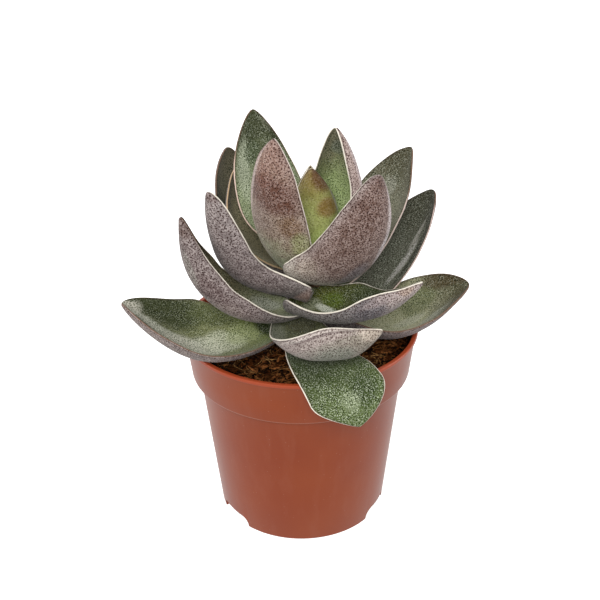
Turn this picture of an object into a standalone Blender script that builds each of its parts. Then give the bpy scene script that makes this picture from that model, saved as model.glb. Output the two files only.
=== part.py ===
"""Potted garnet lotus crassula: a leaf succulent in a small plastic nursery pot.

Twenty fleshy leaves stand round a short stem, which is rooted in coarse soil in a round pot.
Lengths in this file are millimetres and angles are degrees; MM turns them into metres.
+Z is up, the origin is the centre of the pot's underside, and the front faces -Y.
Azimuths are counted from +X (the right) through +Y (the back).
"""
from dataclasses import dataclass

import bmesh
import bpy
import numpy as np

MM = 0.001

# Pot: an 8.5 cm injection-moulded pot with a straight body, a wider collar and a small lip.
POT_HEIGHT = 74.0
POT_FOOT_RADIUS = 31.0
POT_BODY_TOP_RADIUS = 37.2
POT_COLLAR_HEIGHT = 57.0
POT_COLLAR_LOW_RADIUS = 39.8
POT_COLLAR_TOP_RADIUS = 41.7
POT_LIP_RADIUS = 42.5
POT_LIP_DEPTH = 1.4
POT_WALL = 1.1
POT_FLOOR = 1.5

# Drainage notches, cut where the wall meets the floor.
NOTCH_AZIMUTHS = (94.5, 214.5, 334.5)
NOTCH_HALF_WIDTH = 8.0
NOTCH_HEIGHT = 4.0
NOTCH_CORNER = 3.0
NOTCH_INNER_RADIUS = 26.5
NOTCH_OUTER_RADIUS = 36.0

# Soil plug and the stem that stands in it.
GAP = 0.3
SOIL_HEIGHT = 70.0
SOIL_EDGE_DROP = 0.8
STEM_X = 4.5
STEM_Y = -1.0
STEM_FOOT = 58.0
STEM_TOP = 104.5
STEM_RADIUS = 5.6
STEM_NECK_HEIGHT = 93.0
STEM_NECK_RADIUS = 3.1

# Leaf blades.
LEAF_MARGIN = 0.8
LEAF_TIP_HALF_WIDTH = 0.6
LEAF_RINGS = 13
LEAF_COLUMNS = 7

ROUND_STEPS = 56

COLOURS = {
    "pot": ((0.36, 0.13, 0.07), 0.42),
    "soil": ((0.10, 0.05, 0.025), 0.95),
    "stem": ((0.34, 0.20, 0.16), 0.60),
    "leaf": ((0.16, 0.17, 0.11), 0.60),
}


@dataclass
class Leaf:
    """One leaf: where it starts and ends, how its midrib bends and how its blade is shaped."""
    name: str
    azimuth: float            # of its base, round the stem
    height: float             # of its upper face at the stem
    tip_azimuth: float
    reach: float              # from the stem's axis to the tip
    rise: float               # height of the tip
    leave: float              # slope of the midrib at the stem
    arrive: float             # slope of the midrib at the tip
    width: float
    cup: float                # half of the section's arc, at mid-length
    leave_toward: float = None
    arrive_toward: float = None
    pull: float = 0.38        # share of the length over which the first slope holds
    pull_tip: float = None
    start: float = 6.0        # from the stem's axis to the base
    base: float = 0.45        # base width over full width
    lobe: float = 0.6         # under 1: the blade widens quickly above its base
    widest: float = 0.4       # where along the leaf it is widest
    blunt: float = 1.0        # under 1: a blunter tip
    cup_base: float = 45.0
    roll: float = 0.0         # turn about the midrib
    roll_tip: float = None
    thick: float = 3.0
    ear: float = 0.0          # extra base width over full width: clockwise side, or other if minus


LEAVES = [
    # The lowest ring lies over the rim.
    Leaf("leaf_01", 266, 73.4, 286, 52.6, 63.8, 4, -72, 27, 4, leave_toward=246, arrive_toward=305,
         start=6.3, pull=0.32, pull_tip=0.48, base=0.28, lobe=1.0, widest=0.78, blunt=0.75,
         cup_base=6, thick=2.3),
    Leaf("leaf_02", 98, 73.8, 98, 50.0, 80.0, 12, -20, 31, 20, base=0.4, blunt=0.85, cup_base=20),
    Leaf("leaf_03", 199.8, 78.0, 195.4, 67.2, 93.5, -6.4, 41.9, 34.6, 54.5, leave_toward=222.4,
         arrive_toward=168.0, start=6.8, pull=0.46, pull_tip=0.49, base=0.2, ear=0.3, lobe=1.19,
         widest=0.65, blunt=0.63, cup_base=44.9, roll=-7.0, roll_tip=-14.2, thick=2.8),
    Leaf("leaf_04", -6.8, 77.2, -3.4, 55.0, 91.4, -15.5, 33.2, 34.9, 45.4, leave_toward=-11.5,
         arrive_toward=-12.2, start=6.9, pull=0.56, pull_tip=0.44, base=0.37, ear=0.2, lobe=1.03,
         widest=0.42, blunt=0.66, cup_base=43.7, roll=-13.3, roll_tip=27.2),
    # The second ring is cupped and leans outward.
    Leaf("leaf_05", 252, 81.5, 297.6, 46.7, 95.0, -3, 37, 30.8, 54, leave_toward=263.5,
         arrive_toward=369, start=6.3, pull=0.62, pull_tip=0.53, base=0.28, ear=0.55, lobe=1.3,
         widest=0.54, blunt=0.85, cup_base=8, roll=5.7, roll_tip=-11.4, thick=2.3),
    Leaf("leaf_06", 100, 79.3, 100, 43.0, 98.0, 6, 60, 26, 45, base=0.35, blunt=0.85),
    Leaf("leaf_07", 212.8, 84.0, 207.8, 47.9, 126.5, 2.6, 92.6, 27.8, 79.7, leave_toward=225.6,
         arrive_toward=182.0, start=6.3, pull=0.39, pull_tip=0.56, base=0.2, ear=-0.04, lobe=0.5,
         widest=0.61, blunt=0.65, cup_base=26.5, roll=-3.7, roll_tip=-13.1, thick=2.5),
    Leaf("leaf_08", 21.2, 81.4, 29.2, 51.1, 115.2, 16.0, 66.5, 26.0, 28.4, leave_toward=24.9,
         arrive_toward=14.6, start=6.9, pull=0.34, pull_tip=0.21, base=0.36, ear=-0.05, lobe=0.95,
         widest=0.33, blunt=0.55, cup_base=37.2, roll=42, roll_tip=-9.7),
    Leaf("leaf_09", 262, 90.0, 330, 41.8, 101.6, -14, 48, 29, 55, leave_toward=310, arrive_toward=372,
         start=8.2, pull=0.47, pull_tip=0.37, base=0.42, ear=0.79, lobe=1.4, widest=0.45, blunt=0.8,
         cup_base=65, roll=10.5, roll_tip=0, thick=2.6),
    Leaf("leaf_10", 91, 84.5, 90, 38.0, 102.0, 6, 65, 19, 38, base=0.3, blunt=0.85, cup_base=15),
    # The third ring stands up.
    Leaf("leaf_11", 150.8, 89.6, 134.7, 42.6, 130.4, -4.5, 116.6, 29.1, 33.0, leave_toward=136,
         arrive_toward=116.1, start=6.4, pull=0.34, pull_tip=0.41, base=0.3, ear=0.18, lobe=1.22,
         widest=0.3, blunt=0.61, cup_base=33.4, roll=1.0, roll_tip=0.5),
    Leaf("leaf_12", 137.7, 93.9, 134.8, 37.8, 124.2, 17.0, 89.2, 26.6, 51.9, leave_toward=164,
         arrive_toward=143.4, start=6.7, pull=0.46, pull_tip=0.42, base=0.2, ear=0.19, lobe=0.92,
         widest=0.3, blunt=0.63, cup_base=6.6, roll=22.8, roll_tip=-13.4),
    Leaf("leaf_13", 244.4, 94.0, 218.0, 41.5, 136.6, 3.7, 80.7, 20.3, 55.2, leave_toward=194.2,
         arrive_toward=151.4, start=9.5, pull=0.46, pull_tip=0.41, base=0.91, ear=-1.0, lobe=0.73,
         widest=0.54, blunt=0.54, cup_base=30.1, roll=-0.8, roll_tip=0.9, thick=2.7),
    Leaf("leaf_14", 33.6, 90.9, 34.9, 43.6, 131.9, 24.7, 66.4, 27.7, 29.1, leave_toward=24.9,
         arrive_toward=7.4, start=6.1, pull=0.29, pull_tip=0.44, base=0.66, ear=-0.27, lobe=0.77,
         widest=0.65, blunt=0.74, cup_base=26.7, roll=8.4, roll_tip=-4.1),
    Leaf("leaf_15", 288.1, 100.0, 322.5, 26.5, 137.8, -27.2, 116.7, 35.0, 57.4, leave_toward=303.4,
         arrive_toward=285.6, start=7.0, pull=0.3, pull_tip=0.52, base=0.87, ear=0.32, lobe=0.5,
         widest=0.45, blunt=0.5, cup_base=43.7, roll=-9.7, roll_tip=0.6),
    Leaf("leaf_16", 123.1, 99.4, 125.2, 35.3, 145.3, 7.0, 81.7, 28.2, 13.7, leave_toward=126,
         arrive_toward=118.4, start=5.0, pull=0.26, pull_tip=0.47, base=0.2, ear=0.18, lobe=1.1,
         widest=0.48, blunt=0.68, cup_base=30.6, roll=13.1, roll_tip=-13.1),
    # The crown closes over the growing point.
    Leaf("leaf_17", 206, 98.8, 237.0, 21.7, 151.2, 24.7, 113.0, 30.0, 45.6, leave_toward=215.1,
         arrive_toward=235.1, start=4.9, pull=0.34, pull_tip=0.2, base=0.2, ear=0.03, lobe=1.16,
         widest=0.35, blunt=0.9, cup_base=29.6, roll=4.8, roll_tip=-4.6),
    Leaf("leaf_18", 44, 101.1, 12, 8.0, 147.4, 38.2, 118.4, 34.0, 88.9, leave_toward=19.4,
         arrive_toward=45.6, start=4.8, pull=0.36, pull_tip=0.44, base=0.29, ear=-0.1, lobe=1.01,
         widest=0.3, blunt=0.65, cup_base=40, roll=-9.3, roll_tip=35, thick=2.7),
    Leaf("leaf_19", 300, 104.0, 268, 2.2, 135.0, 70, 95, 18.5, 55, start=3.5, blunt=0.8),
    Leaf("leaf_20", 120, 104.0, 100, 2.2, 134.3, 70, 95, 17, 55, start=3.5),
]


def clear_scene():
    for obj in list(bpy.data.objects):
        bpy.data.objects.remove(obj, do_unlink=True)


def new_collection(name):
    collection = bpy.data.collections.new(name)
    bpy.context.scene.collection.children.link(collection)
    return collection


def surface_material(name, kind):
    colour, roughness = COLOURS[kind]
    material = bpy.data.materials.new(name)
    material.use_nodes = True
    shader = material.node_tree.nodes["Principled BSDF"]
    shader.inputs["Base Color"].default_value = (*colour, 1.0)
    shader.inputs["Roughness"].default_value = roughness
    shader.inputs["Metallic"].default_value = 0.0
    return material


def add_object(name, mesh, collection, kind=None):
    obj = bpy.data.objects.new(name, mesh)
    collection.objects.link(obj)
    if kind:
        mesh.materials.append(surface_material(name, kind))
    return obj


def lathe(name, profile, collection, kind=None, centre=(0.0, 0.0), steps=ROUND_STEPS):
    """Turn a profile of (radius, height) points, in millimetres, about a vertical axis."""
    mesh = bpy.data.meshes.new(name)
    points = [(radius * MM, 0.0, height * MM) for radius, height in profile]
    edges = [(i, i + 1) for i in range(len(points) - 1)]
    mesh.from_pydata(points, edges, [])
    obj = add_object(name, mesh, collection, kind)
    obj.location = (centre[0] * MM, centre[1] * MM, 0.0)
    turn = obj.modifiers.new("Turn", "SCREW")
    turn.steps = steps
    turn.render_steps = steps
    turn.use_merge_vertices = True
    turn.merge_threshold = 0.00001
    turn.use_smooth_shade = True
    return obj


def cut(obj, cutter, name):
    cutter.hide_render = True
    cutter.display_type = "WIRE"
    boolean = obj.modifiers.new(name, "BOOLEAN")
    boolean.operation = "DIFFERENCE"
    boolean.solver = "EXACT"
    boolean.object = cutter


def notch_cutter(azimuth, collection):
    """A block with rounded upper corners that passes through the wall's foot."""
    quarter = np.radians(np.linspace(0.0, 90.0, 6))
    inset = NOTCH_HALF_WIDTH - NOTCH_CORNER
    low = NOTCH_HEIGHT - NOTCH_CORNER
    right = [(inset + NOTCH_CORNER * np.cos(a), low + NOTCH_CORNER * np.sin(a)) for a in quarter]
    left = [(-across, up) for across, up in reversed(right)]
    outline = [(NOTCH_HALF_WIDTH, -1.0), *right, *left, (-NOTCH_HALF_WIDTH, -1.0)]

    mesh = bpy.data.meshes.new("notch")
    shape = bmesh.new()
    ring = [shape.verts.new((NOTCH_INNER_RADIUS * MM, y * MM, z * MM)) for y, z in outline]
    face = shape.faces.new(ring)
    depth = (NOTCH_OUTER_RADIUS - NOTCH_INNER_RADIUS) * MM
    made = bmesh.ops.extrude_face_region(shape, geom=[face])
    moved = [item for item in made["geom"] if isinstance(item, bmesh.types.BMVert)]
    bmesh.ops.translate(shape, verts=moved, vec=(depth, 0.0, 0.0))
    bmesh.ops.recalc_face_normals(shape, faces=shape.faces)
    shape.to_mesh(mesh)
    shape.free()

    cutter = add_object(f"notch_{azimuth:.0f}", mesh, collection)
    cutter.rotation_euler = (0.0, 0.0, np.radians(azimuth))
    return cutter


def body_radius(height):
    """Outer radius of the pot's straight body at a height."""
    share = height / POT_COLLAR_HEIGHT
    return POT_FOOT_RADIUS + (POT_BODY_TOP_RADIUS - POT_FOOT_RADIUS) * share


def collar_radius(height):
    """Outer radius of the collar at a height."""
    share = (height - POT_COLLAR_HEIGHT) / (POT_HEIGHT - POT_LIP_DEPTH - POT_COLLAR_HEIGHT)
    return POT_COLLAR_LOW_RADIUS + (POT_COLLAR_TOP_RADIUS - POT_COLLAR_LOW_RADIUS) * share


def inner_wall(height):
    """Inner radius of the pot: it follows the outside, one wall's thickness in."""
    step = POT_COLLAR_HEIGHT + POT_WALL
    if height > step:
        return collar_radius(height) - POT_WALL
    return body_radius(height) - POT_WALL


def make_pot(parts, cutters):
    lip_low = POT_HEIGHT - POT_LIP_DEPTH
    step = POT_COLLAR_HEIGHT
    inner_step = step + POT_WALL
    profile = [
        (collar_radius(POT_HEIGHT) - POT_WALL + 0.4, POT_HEIGHT),
        (POT_LIP_RADIUS - 0.35, POT_HEIGHT),
        (POT_LIP_RADIUS, POT_HEIGHT - 0.35),
        (POT_LIP_RADIUS, lip_low + 0.3),
        (POT_LIP_RADIUS - 0.3, lip_low),
        (POT_COLLAR_TOP_RADIUS, lip_low - 0.2),
        (collar_radius(step + 0.8), step + 0.8),
        (collar_radius(step) - 0.5, step),
        (body_radius(step) + 0.5, step - 0.2),
        (body_radius(step - 0.9), step - 0.9),
        (body_radius(0.8), 0.8),
        (POT_FOOT_RADIUS - 0.5, 0.0),
        (0.0, 0.0),
        (0.0, POT_FLOOR),
        (inner_wall(POT_FLOOR + 1.0) - 1.0, POT_FLOOR),
        (inner_wall(POT_FLOOR + 1.0), POT_FLOOR + 1.0),
        (inner_wall(inner_step - 1.2), inner_step - 1.2),
        (collar_radius(inner_step + 0.3) - POT_WALL - 0.6, inner_step - 0.4),
        (collar_radius(inner_step + 0.5) - POT_WALL, inner_step + 0.5),
        (collar_radius(lip_low) - POT_WALL, lip_low),
        (collar_radius(POT_HEIGHT) - POT_WALL + 0.1, POT_HEIGHT - 0.3),
        (collar_radius(POT_HEIGHT) - POT_WALL + 0.4, POT_HEIGHT),
    ]
    pot = lathe("pot", profile, parts, "pot")
    for azimuth in NOTCH_AZIMUTHS:
        cut(pot, notch_cutter(azimuth, cutters), f"Notch {azimuth:.0f}")
    return pot


def make_soil(parts, cutters):
    """A plug that fills the pot to just under the rim, with a hole for the stem."""
    inner_step = POT_COLLAR_HEIGHT + POT_WALL
    floor = POT_FLOOR + GAP
    profile = [
        (0.0, SOIL_HEIGHT),
        (20.0, SOIL_HEIGHT),
        (33.0, SOIL_HEIGHT - 0.4 * SOIL_EDGE_DROP),
        (inner_wall(SOIL_HEIGHT) - GAP, SOIL_HEIGHT - SOIL_EDGE_DROP),
        (collar_radius(inner_step + 1.6) - POT_WALL - GAP, inner_step + 1.6),
        (inner_wall(inner_step - 3.0) - GAP - 0.2, inner_step),
        (inner_wall(inner_step - 3.0) - GAP, inner_step - 3.0),
        (inner_wall(floor + 1.2) - GAP, floor + 1.2),
        (inner_wall(floor + 1.2) - GAP - 1.2, floor),
        (0.0, floor),
    ]
    soil = lathe("soil", profile, parts, "soil")
    hole = STEM_RADIUS + GAP
    hole_profile = [(0.0, 90.0), (hole, 90.0), (hole, STEM_FOOT - GAP), (0.0, STEM_FOOT - GAP)]
    cutter = lathe("stem_hole", hole_profile, cutters, centre=(STEM_X, STEM_Y), steps=24)
    cut(soil, cutter, "Stem hole")
    return soil


def make_stem(parts):
    """A short stem that narrows above the third ring of leaves."""
    profile = [
        (0.0, STEM_TOP),
        (0.6 * STEM_NECK_RADIUS, STEM_TOP),
        (STEM_NECK_RADIUS, STEM_TOP - 1.2),
        (0.5 * (STEM_RADIUS + STEM_NECK_RADIUS), 0.5 * (STEM_TOP + STEM_NECK_HEIGHT)),
        (STEM_RADIUS, STEM_NECK_HEIGHT),
        (STEM_RADIUS, STEM_FOOT + 2.0),
        (STEM_RADIUS - 1.5, STEM_FOOT),
        (0.0, STEM_FOOT),
    ]
    return lathe("stem", profile, parts, "stem", centre=(STEM_X, STEM_Y), steps=24)


def direction(azimuth, slope):
    """Unit vector for a compass direction and a slope, both in degrees."""
    turn = np.radians(azimuth)
    rise = np.radians(slope)
    return np.array([np.cos(rise) * np.cos(turn), np.cos(rise) * np.sin(turn), np.sin(rise)])


def midrib(leaf, s):
    """Cubic curve from the stem to the tip: points and unit tangents at the shares s."""
    axis = np.array([STEM_X, STEM_Y, 0.0])
    up = np.array([0.0, 0.0, 1.0])
    leave_toward = leaf.azimuth if leaf.leave_toward is None else leaf.leave_toward
    arrive_toward = leaf.tip_azimuth if leaf.arrive_toward is None else leaf.arrive_toward
    pull_tip = leaf.pull if leaf.pull_tip is None else leaf.pull_tip
    first = axis + leaf.start * direction(leaf.azimuth, 0.0) + leaf.height * up
    last = axis + leaf.reach * direction(leaf.tip_azimuth, 0.0) + leaf.rise * up
    span = np.linalg.norm(last - first)
    second = first + leaf.pull * span * direction(leave_toward, leaf.leave)
    third = last - pull_tip * span * direction(arrive_toward, leaf.arrive)
    s = s[:, None]
    r = 1.0 - s
    points = r**3 * first + 3 * r**2 * s * second + 3 * r * s**2 * third + s**3 * last
    tangents = r**2 * (second - first) + 2 * r * s * (third - second) + s**2 * (last - third)
    return points, tangents / np.linalg.norm(tangents, axis=1)[:, None]


def half_width(leaf, s):
    """Blade outline: widens from the base to its widest place, then narrows to the tip."""
    low = np.sin(0.5 * np.pi * np.clip(s / leaf.widest, 0.0, 1.0)) ** leaf.lobe
    high = np.cos(0.5 * np.pi * np.clip((s - leaf.widest) / (1.0 - leaf.widest), 0.0, 1.0)) ** leaf.blunt
    share = np.where(s < leaf.widest, leaf.base + (1.0 - leaf.base) * low, high)
    return np.maximum(0.5 * leaf.width * share, LEAF_TIP_HALF_WIDTH)


def leaf_faces(leaf, s, v):
    """Upper and under face of a blade as grids of points, s along the leaf and v across it.

    Each section is an arc that the cup angle bends upward, turned about the midrib by the roll.
    An ear widens the base on one side and fades towards the leaf's widest place.
    The under face lies below it by a thickness that falls from the midrib to the thin margins.
    """
    centre, along = midrib(leaf, s)
    turn = np.radians(leaf.azimuth + (leaf.tip_azimuth - leaf.azimuth) * s)
    side = np.stack([-np.sin(turn), np.cos(turn), np.zeros_like(turn)], axis=1)
    side -= np.sum(side * along, axis=1)[:, None] * along
    side /= np.linalg.norm(side, axis=1)[:, None]
    normal = np.cross(along, side)
    roll_tip = leaf.roll if leaf.roll_tip is None else leaf.roll_tip
    roll = np.radians(leaf.roll + (roll_tip - leaf.roll) * s)[:, None]
    across = side * np.cos(roll) + normal * np.sin(roll)
    upward = normal * np.cos(roll) - side * np.sin(roll)

    ease = np.clip(2.0 * s, 0.0, 1.0)
    ease = ease * ease * (3.0 - 2.0 * ease)
    cup = np.radians(leaf.cup_base + (leaf.cup - leaf.cup_base) * ease)[:, None]
    half = half_width(leaf, s)[:, None]
    ear = 0.5 * leaf.width * leaf.ear * np.clip(1.0 - s / leaf.widest, 0.0, 1.0)[:, None] ** 2
    radius = (half + 0.5 * np.abs(ear)) / cup
    reach = half + np.where(v < 0.0, np.maximum(ear, 0.0), np.maximum(-ear, 0.0))
    angle = reach * v[None, :] / radius
    out = radius * np.sin(angle)
    lift = radius * (1.0 - np.cos(angle))
    upper = centre[:, None] + across[:, None] * out[..., None] + upward[:, None] * lift[..., None]

    facing = upward[:, None] * np.cos(angle)[..., None] - across[:, None] * np.sin(angle)[..., None]
    swell = np.clip(1.15 - 0.55 * s - 0.6 * s**6, 0.0, 1.2)[:, None]
    belly = (leaf.thick - LEAF_MARGIN) * swell * (1.0 - np.abs(v[None, :]) ** 2.2)
    under = upper - facing * (LEAF_MARGIN + belly)[..., None]
    return upper, under


def make_leaf(leaf, parts):
    """Loft one leaf: two grids of points, joined round their edge into a closed body."""
    rings = LEAF_RINGS
    columns = LEAF_COLUMNS
    s = 1.0 - (1.0 - np.linspace(0.0, 1.0, rings)) ** 1.3
    v = np.linspace(-1.0, 1.0, columns)
    upper, under = leaf_faces(leaf, s, v)
    points = np.concatenate([upper.reshape(-1, 3), under.reshape(-1, 3)]) * MM
    top = np.arange(rings * columns).reshape(rings, columns)
    low = top + rings * columns

    def quads(a, b, c, d):
        return np.stack([a, b, c, d], axis=-1).reshape(-1, 4).tolist()

    faces = quads(top[:-1, :-1], top[1:, :-1], top[1:, 1:], top[:-1, 1:])
    faces += quads(low[:-1, :-1], low[:-1, 1:], low[1:, 1:], low[1:, :-1])
    faces += quads(top[:-1, 0], low[:-1, 0], low[1:, 0], top[1:, 0])
    faces += quads(top[:-1, -1], top[1:, -1], low[1:, -1], low[:-1, -1])
    faces += quads(top[0, :-1], top[0, 1:], low[0, 1:], low[0, :-1])
    faces += quads(top[-1, :-1], low[-1, :-1], low[-1, 1:], top[-1, 1:])

    mesh = bpy.data.meshes.new(leaf.name)
    mesh.from_pydata(points.tolist(), [], faces)
    mesh.shade_smooth()
    mesh.set_sharp_from_angle(angle=np.radians(50.0))
    return add_object(leaf.name, mesh, parts, "leaf")


clear_scene()
plant_parts = new_collection("garnet_lotus_crassula")
hole_cutters = new_collection("cutters")
make_pot(plant_parts, hole_cutters)
make_soil(plant_parts, hole_cutters)
make_stem(plant_parts)
for one_leaf in LEAVES:
    make_leaf(one_leaf, plant_parts)
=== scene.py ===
"""Potted garnet lotus crassula: velvety leaves round a short stem, in a small plastic nursery pot.

Lengths are millimetres and angles are degrees, as in the solids' own source; MM makes them metres.
+Z is up, the pot stands on the floor at height 0 and the photograph looks at it from -Y.
"""
from dataclasses import dataclass

import bpy
import numpy as np
from mathutils import Matrix, Vector


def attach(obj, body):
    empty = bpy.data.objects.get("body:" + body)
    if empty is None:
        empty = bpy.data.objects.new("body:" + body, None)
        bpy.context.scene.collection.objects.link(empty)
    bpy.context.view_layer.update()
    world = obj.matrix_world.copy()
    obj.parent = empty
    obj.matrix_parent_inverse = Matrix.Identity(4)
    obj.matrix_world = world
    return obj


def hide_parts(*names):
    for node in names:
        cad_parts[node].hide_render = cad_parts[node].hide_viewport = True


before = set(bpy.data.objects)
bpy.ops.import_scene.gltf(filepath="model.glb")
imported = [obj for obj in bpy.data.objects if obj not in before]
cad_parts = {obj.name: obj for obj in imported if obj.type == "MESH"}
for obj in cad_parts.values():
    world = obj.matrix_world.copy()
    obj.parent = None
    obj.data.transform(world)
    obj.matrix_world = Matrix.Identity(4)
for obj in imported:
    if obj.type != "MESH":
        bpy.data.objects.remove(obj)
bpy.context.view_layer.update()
MM = 0.001


# The studio: a white floor in a white room, with a broad soft light from the front and above and
# a tall softbox on each side. The camera stands where the photograph was taken from.
WHITE = (1.0, 1.0, 1.0, 1.0)
CAMERA_ELEVATION = 28.5
CAMERA_DISTANCE = 400.0
CAMERA_AIM_HEIGHT = 80.0
CAMERA_PITCH = 0.43
CAMERA_ROLL = -0.72
CAMERA_LENS = 66.8
CAMERA_NEAR = 10.0
CAMERA_FAR = 50000.0
SENSOR_WIDTH = 36.0
FLOOR_HALF_WIDTH = 4000.0
FLOOR_ROUGHNESS = 0.9
FLOOR_GLOW = 0.6
ROOM_STRENGTH = 0.42
ROOM_SHINE = 0.85
KEY_STRENGTH = 2.3
KEY_SPREAD = 30.0
KEY_FROM = (-0.1, -0.85, 0.58)
SIDE_POWER = 1.1
SIDE_WIDTH = 300.0
SIDE_HEIGHT = 600.0
SIDE_PLACES = ((-520, 60, 260), (520, 60, 260))


def turned_pair(first, second, degrees):
    """Two square directions turned in their own plane, so that the first goes towards the second."""
    turn = np.radians(degrees)
    return first * np.cos(turn) + second * np.sin(turn), second * np.cos(turn) - first * np.sin(turn)


def place_camera():
    """Right, up and back directions from the elevation, turned by a small pitch and a small roll."""
    right = np.array([1.0, 0.0, 0.0])
    ahead, up = turned_pair(np.array([0.0, 1.0, 0.0]), np.array([0.0, 0.0, 1.0]), -CAMERA_ELEVATION)
    place = np.array([0.0, 0.0, CAMERA_AIM_HEIGHT]) - CAMERA_DISTANCE * ahead
    ahead, up = turned_pair(ahead, up, CAMERA_PITCH)
    right, up = turned_pair(right, up, CAMERA_ROLL)
    data = bpy.data.cameras.new("camera")
    data.sensor_width = SENSOR_WIDTH
    data.lens = CAMERA_LENS
    data.clip_start = CAMERA_NEAR * MM
    data.clip_end = CAMERA_FAR * MM
    camera = bpy.data.objects.new("camera", data)
    bpy.context.scene.collection.objects.link(camera)
    axes = Matrix([right, up, -ahead]).transposed().to_4x4()
    camera.matrix_world = Matrix.Translation(Vector(place * MM)) @ axes
    bpy.context.scene.camera = camera


def add_lamp(name, data, source):
    """A lamp object that shines from the direction given."""
    lamp = bpy.data.objects.new(name, data)
    bpy.context.scene.collection.objects.link(lamp)
    lamp.rotation_mode = "QUATERNION"
    lamp.rotation_quaternion = Vector(source).to_track_quat("Z", "Y")
    return lamp


def light_plant():
    """A wide soft lamp from behind the camera, and a tall softbox on each side of the pot."""
    data = bpy.data.lights.new("key_light", "SUN")
    data.energy = KEY_STRENGTH
    data.angle = np.radians(KEY_SPREAD)
    key = add_lamp("key_light", data, KEY_FROM)
    key.visible_glossy = False
    for place in SIDE_PLACES:
        data = bpy.data.lights.new("side_light", "AREA")
        data.shape = "RECTANGLE"
        data.size = SIDE_WIDTH * MM
        data.size_y = SIDE_HEIGHT * MM
        data.energy = SIDE_POWER
        side = add_lamp("side_light", data, place)
        side.location = Vector(place) * MM


def make_floor():
    """A wide white plane that glows a little but throws no light back onto the plant."""
    corners = FLOOR_HALF_WIDTH * MM * np.array([[-1, -1, 0], [1, -1, 0], [1, 1, 0], [-1, 1, 0]])
    mesh = bpy.data.meshes.new("floor")
    mesh.from_pydata(corners.tolist(), [], [(0, 1, 2, 3)])
    material = bpy.data.materials.new("floor")
    material.use_nodes = True
    shader = material.node_tree.nodes["Principled BSDF"]
    shader.inputs["Base Color"].default_value = WHITE
    shader.inputs["Roughness"].default_value = FLOOR_ROUGHNESS
    shader.inputs["Specular IOR Level"].default_value = 0.0
    shader.inputs["Emission Color"].default_value = WHITE
    shader.inputs["Emission Strength"].default_value = FLOOR_GLOW
    mesh.materials.append(material)
    floor = bpy.data.objects.new("floor", mesh)
    bpy.context.scene.collection.objects.link(floor)
    floor.visible_diffuse = False
    floor.visible_glossy = False


def light_room():
    """A white world: dim for the light that it casts, and brighter where a glossy skin mirrors it."""
    world = bpy.data.worlds.new("room")
    world.use_nodes = True
    background = world.node_tree.nodes["Background"]
    background.inputs["Color"].default_value = WHITE
    path = world.node_tree.nodes.new("ShaderNodeLightPath")
    strength = world.node_tree.nodes.new("ShaderNodeMapRange")
    strength.inputs["To Min"].default_value = ROOM_STRENGTH
    strength.inputs["To Max"].default_value = ROOM_SHINE
    world.node_tree.links.new(path.outputs["Is Glossy Ray"], strength.inputs["Value"])
    world.node_tree.links.new(strength.outputs["Result"], background.inputs["Strength"])
    bpy.context.scene.world = world
    bpy.context.scene.view_settings.view_transform = "Standard"


place_camera()
make_floor()
light_room()
light_plant()


# The pot: one thin shell of terracotta-coloured plastic, injection-moulded with a satin skin.
# A wider collar stiffens its top, and three notches at the foot let water out.
POT_HEIGHT = 74.0
POT_FOOT_RADIUS = 31.0
POT_BODY_TOP_RADIUS = 37.2
POT_COLLAR_HEIGHT = 57.0
POT_COLLAR_LOW_RADIUS = 39.8
POT_COLLAR_TOP_RADIUS = 41.7
POT_LIP_RADIUS = 42.5
POT_LIP_DEPTH = 1.4
POT_WALL = 1.1
POT_FLOOR = 1.5
POT_STEPS = 192
POLE_RADIUS = 2.0
BODY_RINGS = (20.0, 40.0)
INNER_RING = 30.0
COLLAR_RING = 65.0
CORNER = 0.5
LIP_CORNER = 0.3
CORNER_STEPS = 5
SHARP_ANGLE = 40.0
NOTCH_AZIMUTHS = (94.5, 214.5, 334.5)
NOTCH_HALF_WIDTH = 8.0
NOTCH_HEIGHT = 4.0
NOTCH_CORNER = 3.0
NOTCH_STEPS = 8
NOTCH_INNER_RADIUS = 26.5
NOTCH_OUTER_RADIUS = 36.0
BELOW_FLOOR = -1.0
POT_DARK = (138, 54, 12)
POT_LIGHT = (146, 62, 18)
POT_STREAK = (152, 78, 50)
# The collar's pale edge is a painted highlight.
POT_EDGE_HIGHLIGHT = (190, 122, 94)
# The lip's red is painted light glowing through the thin plastic.
POT_LIP_GLOW = (172, 72, 40)
POT_FLECK = (208, 168, 146)


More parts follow.
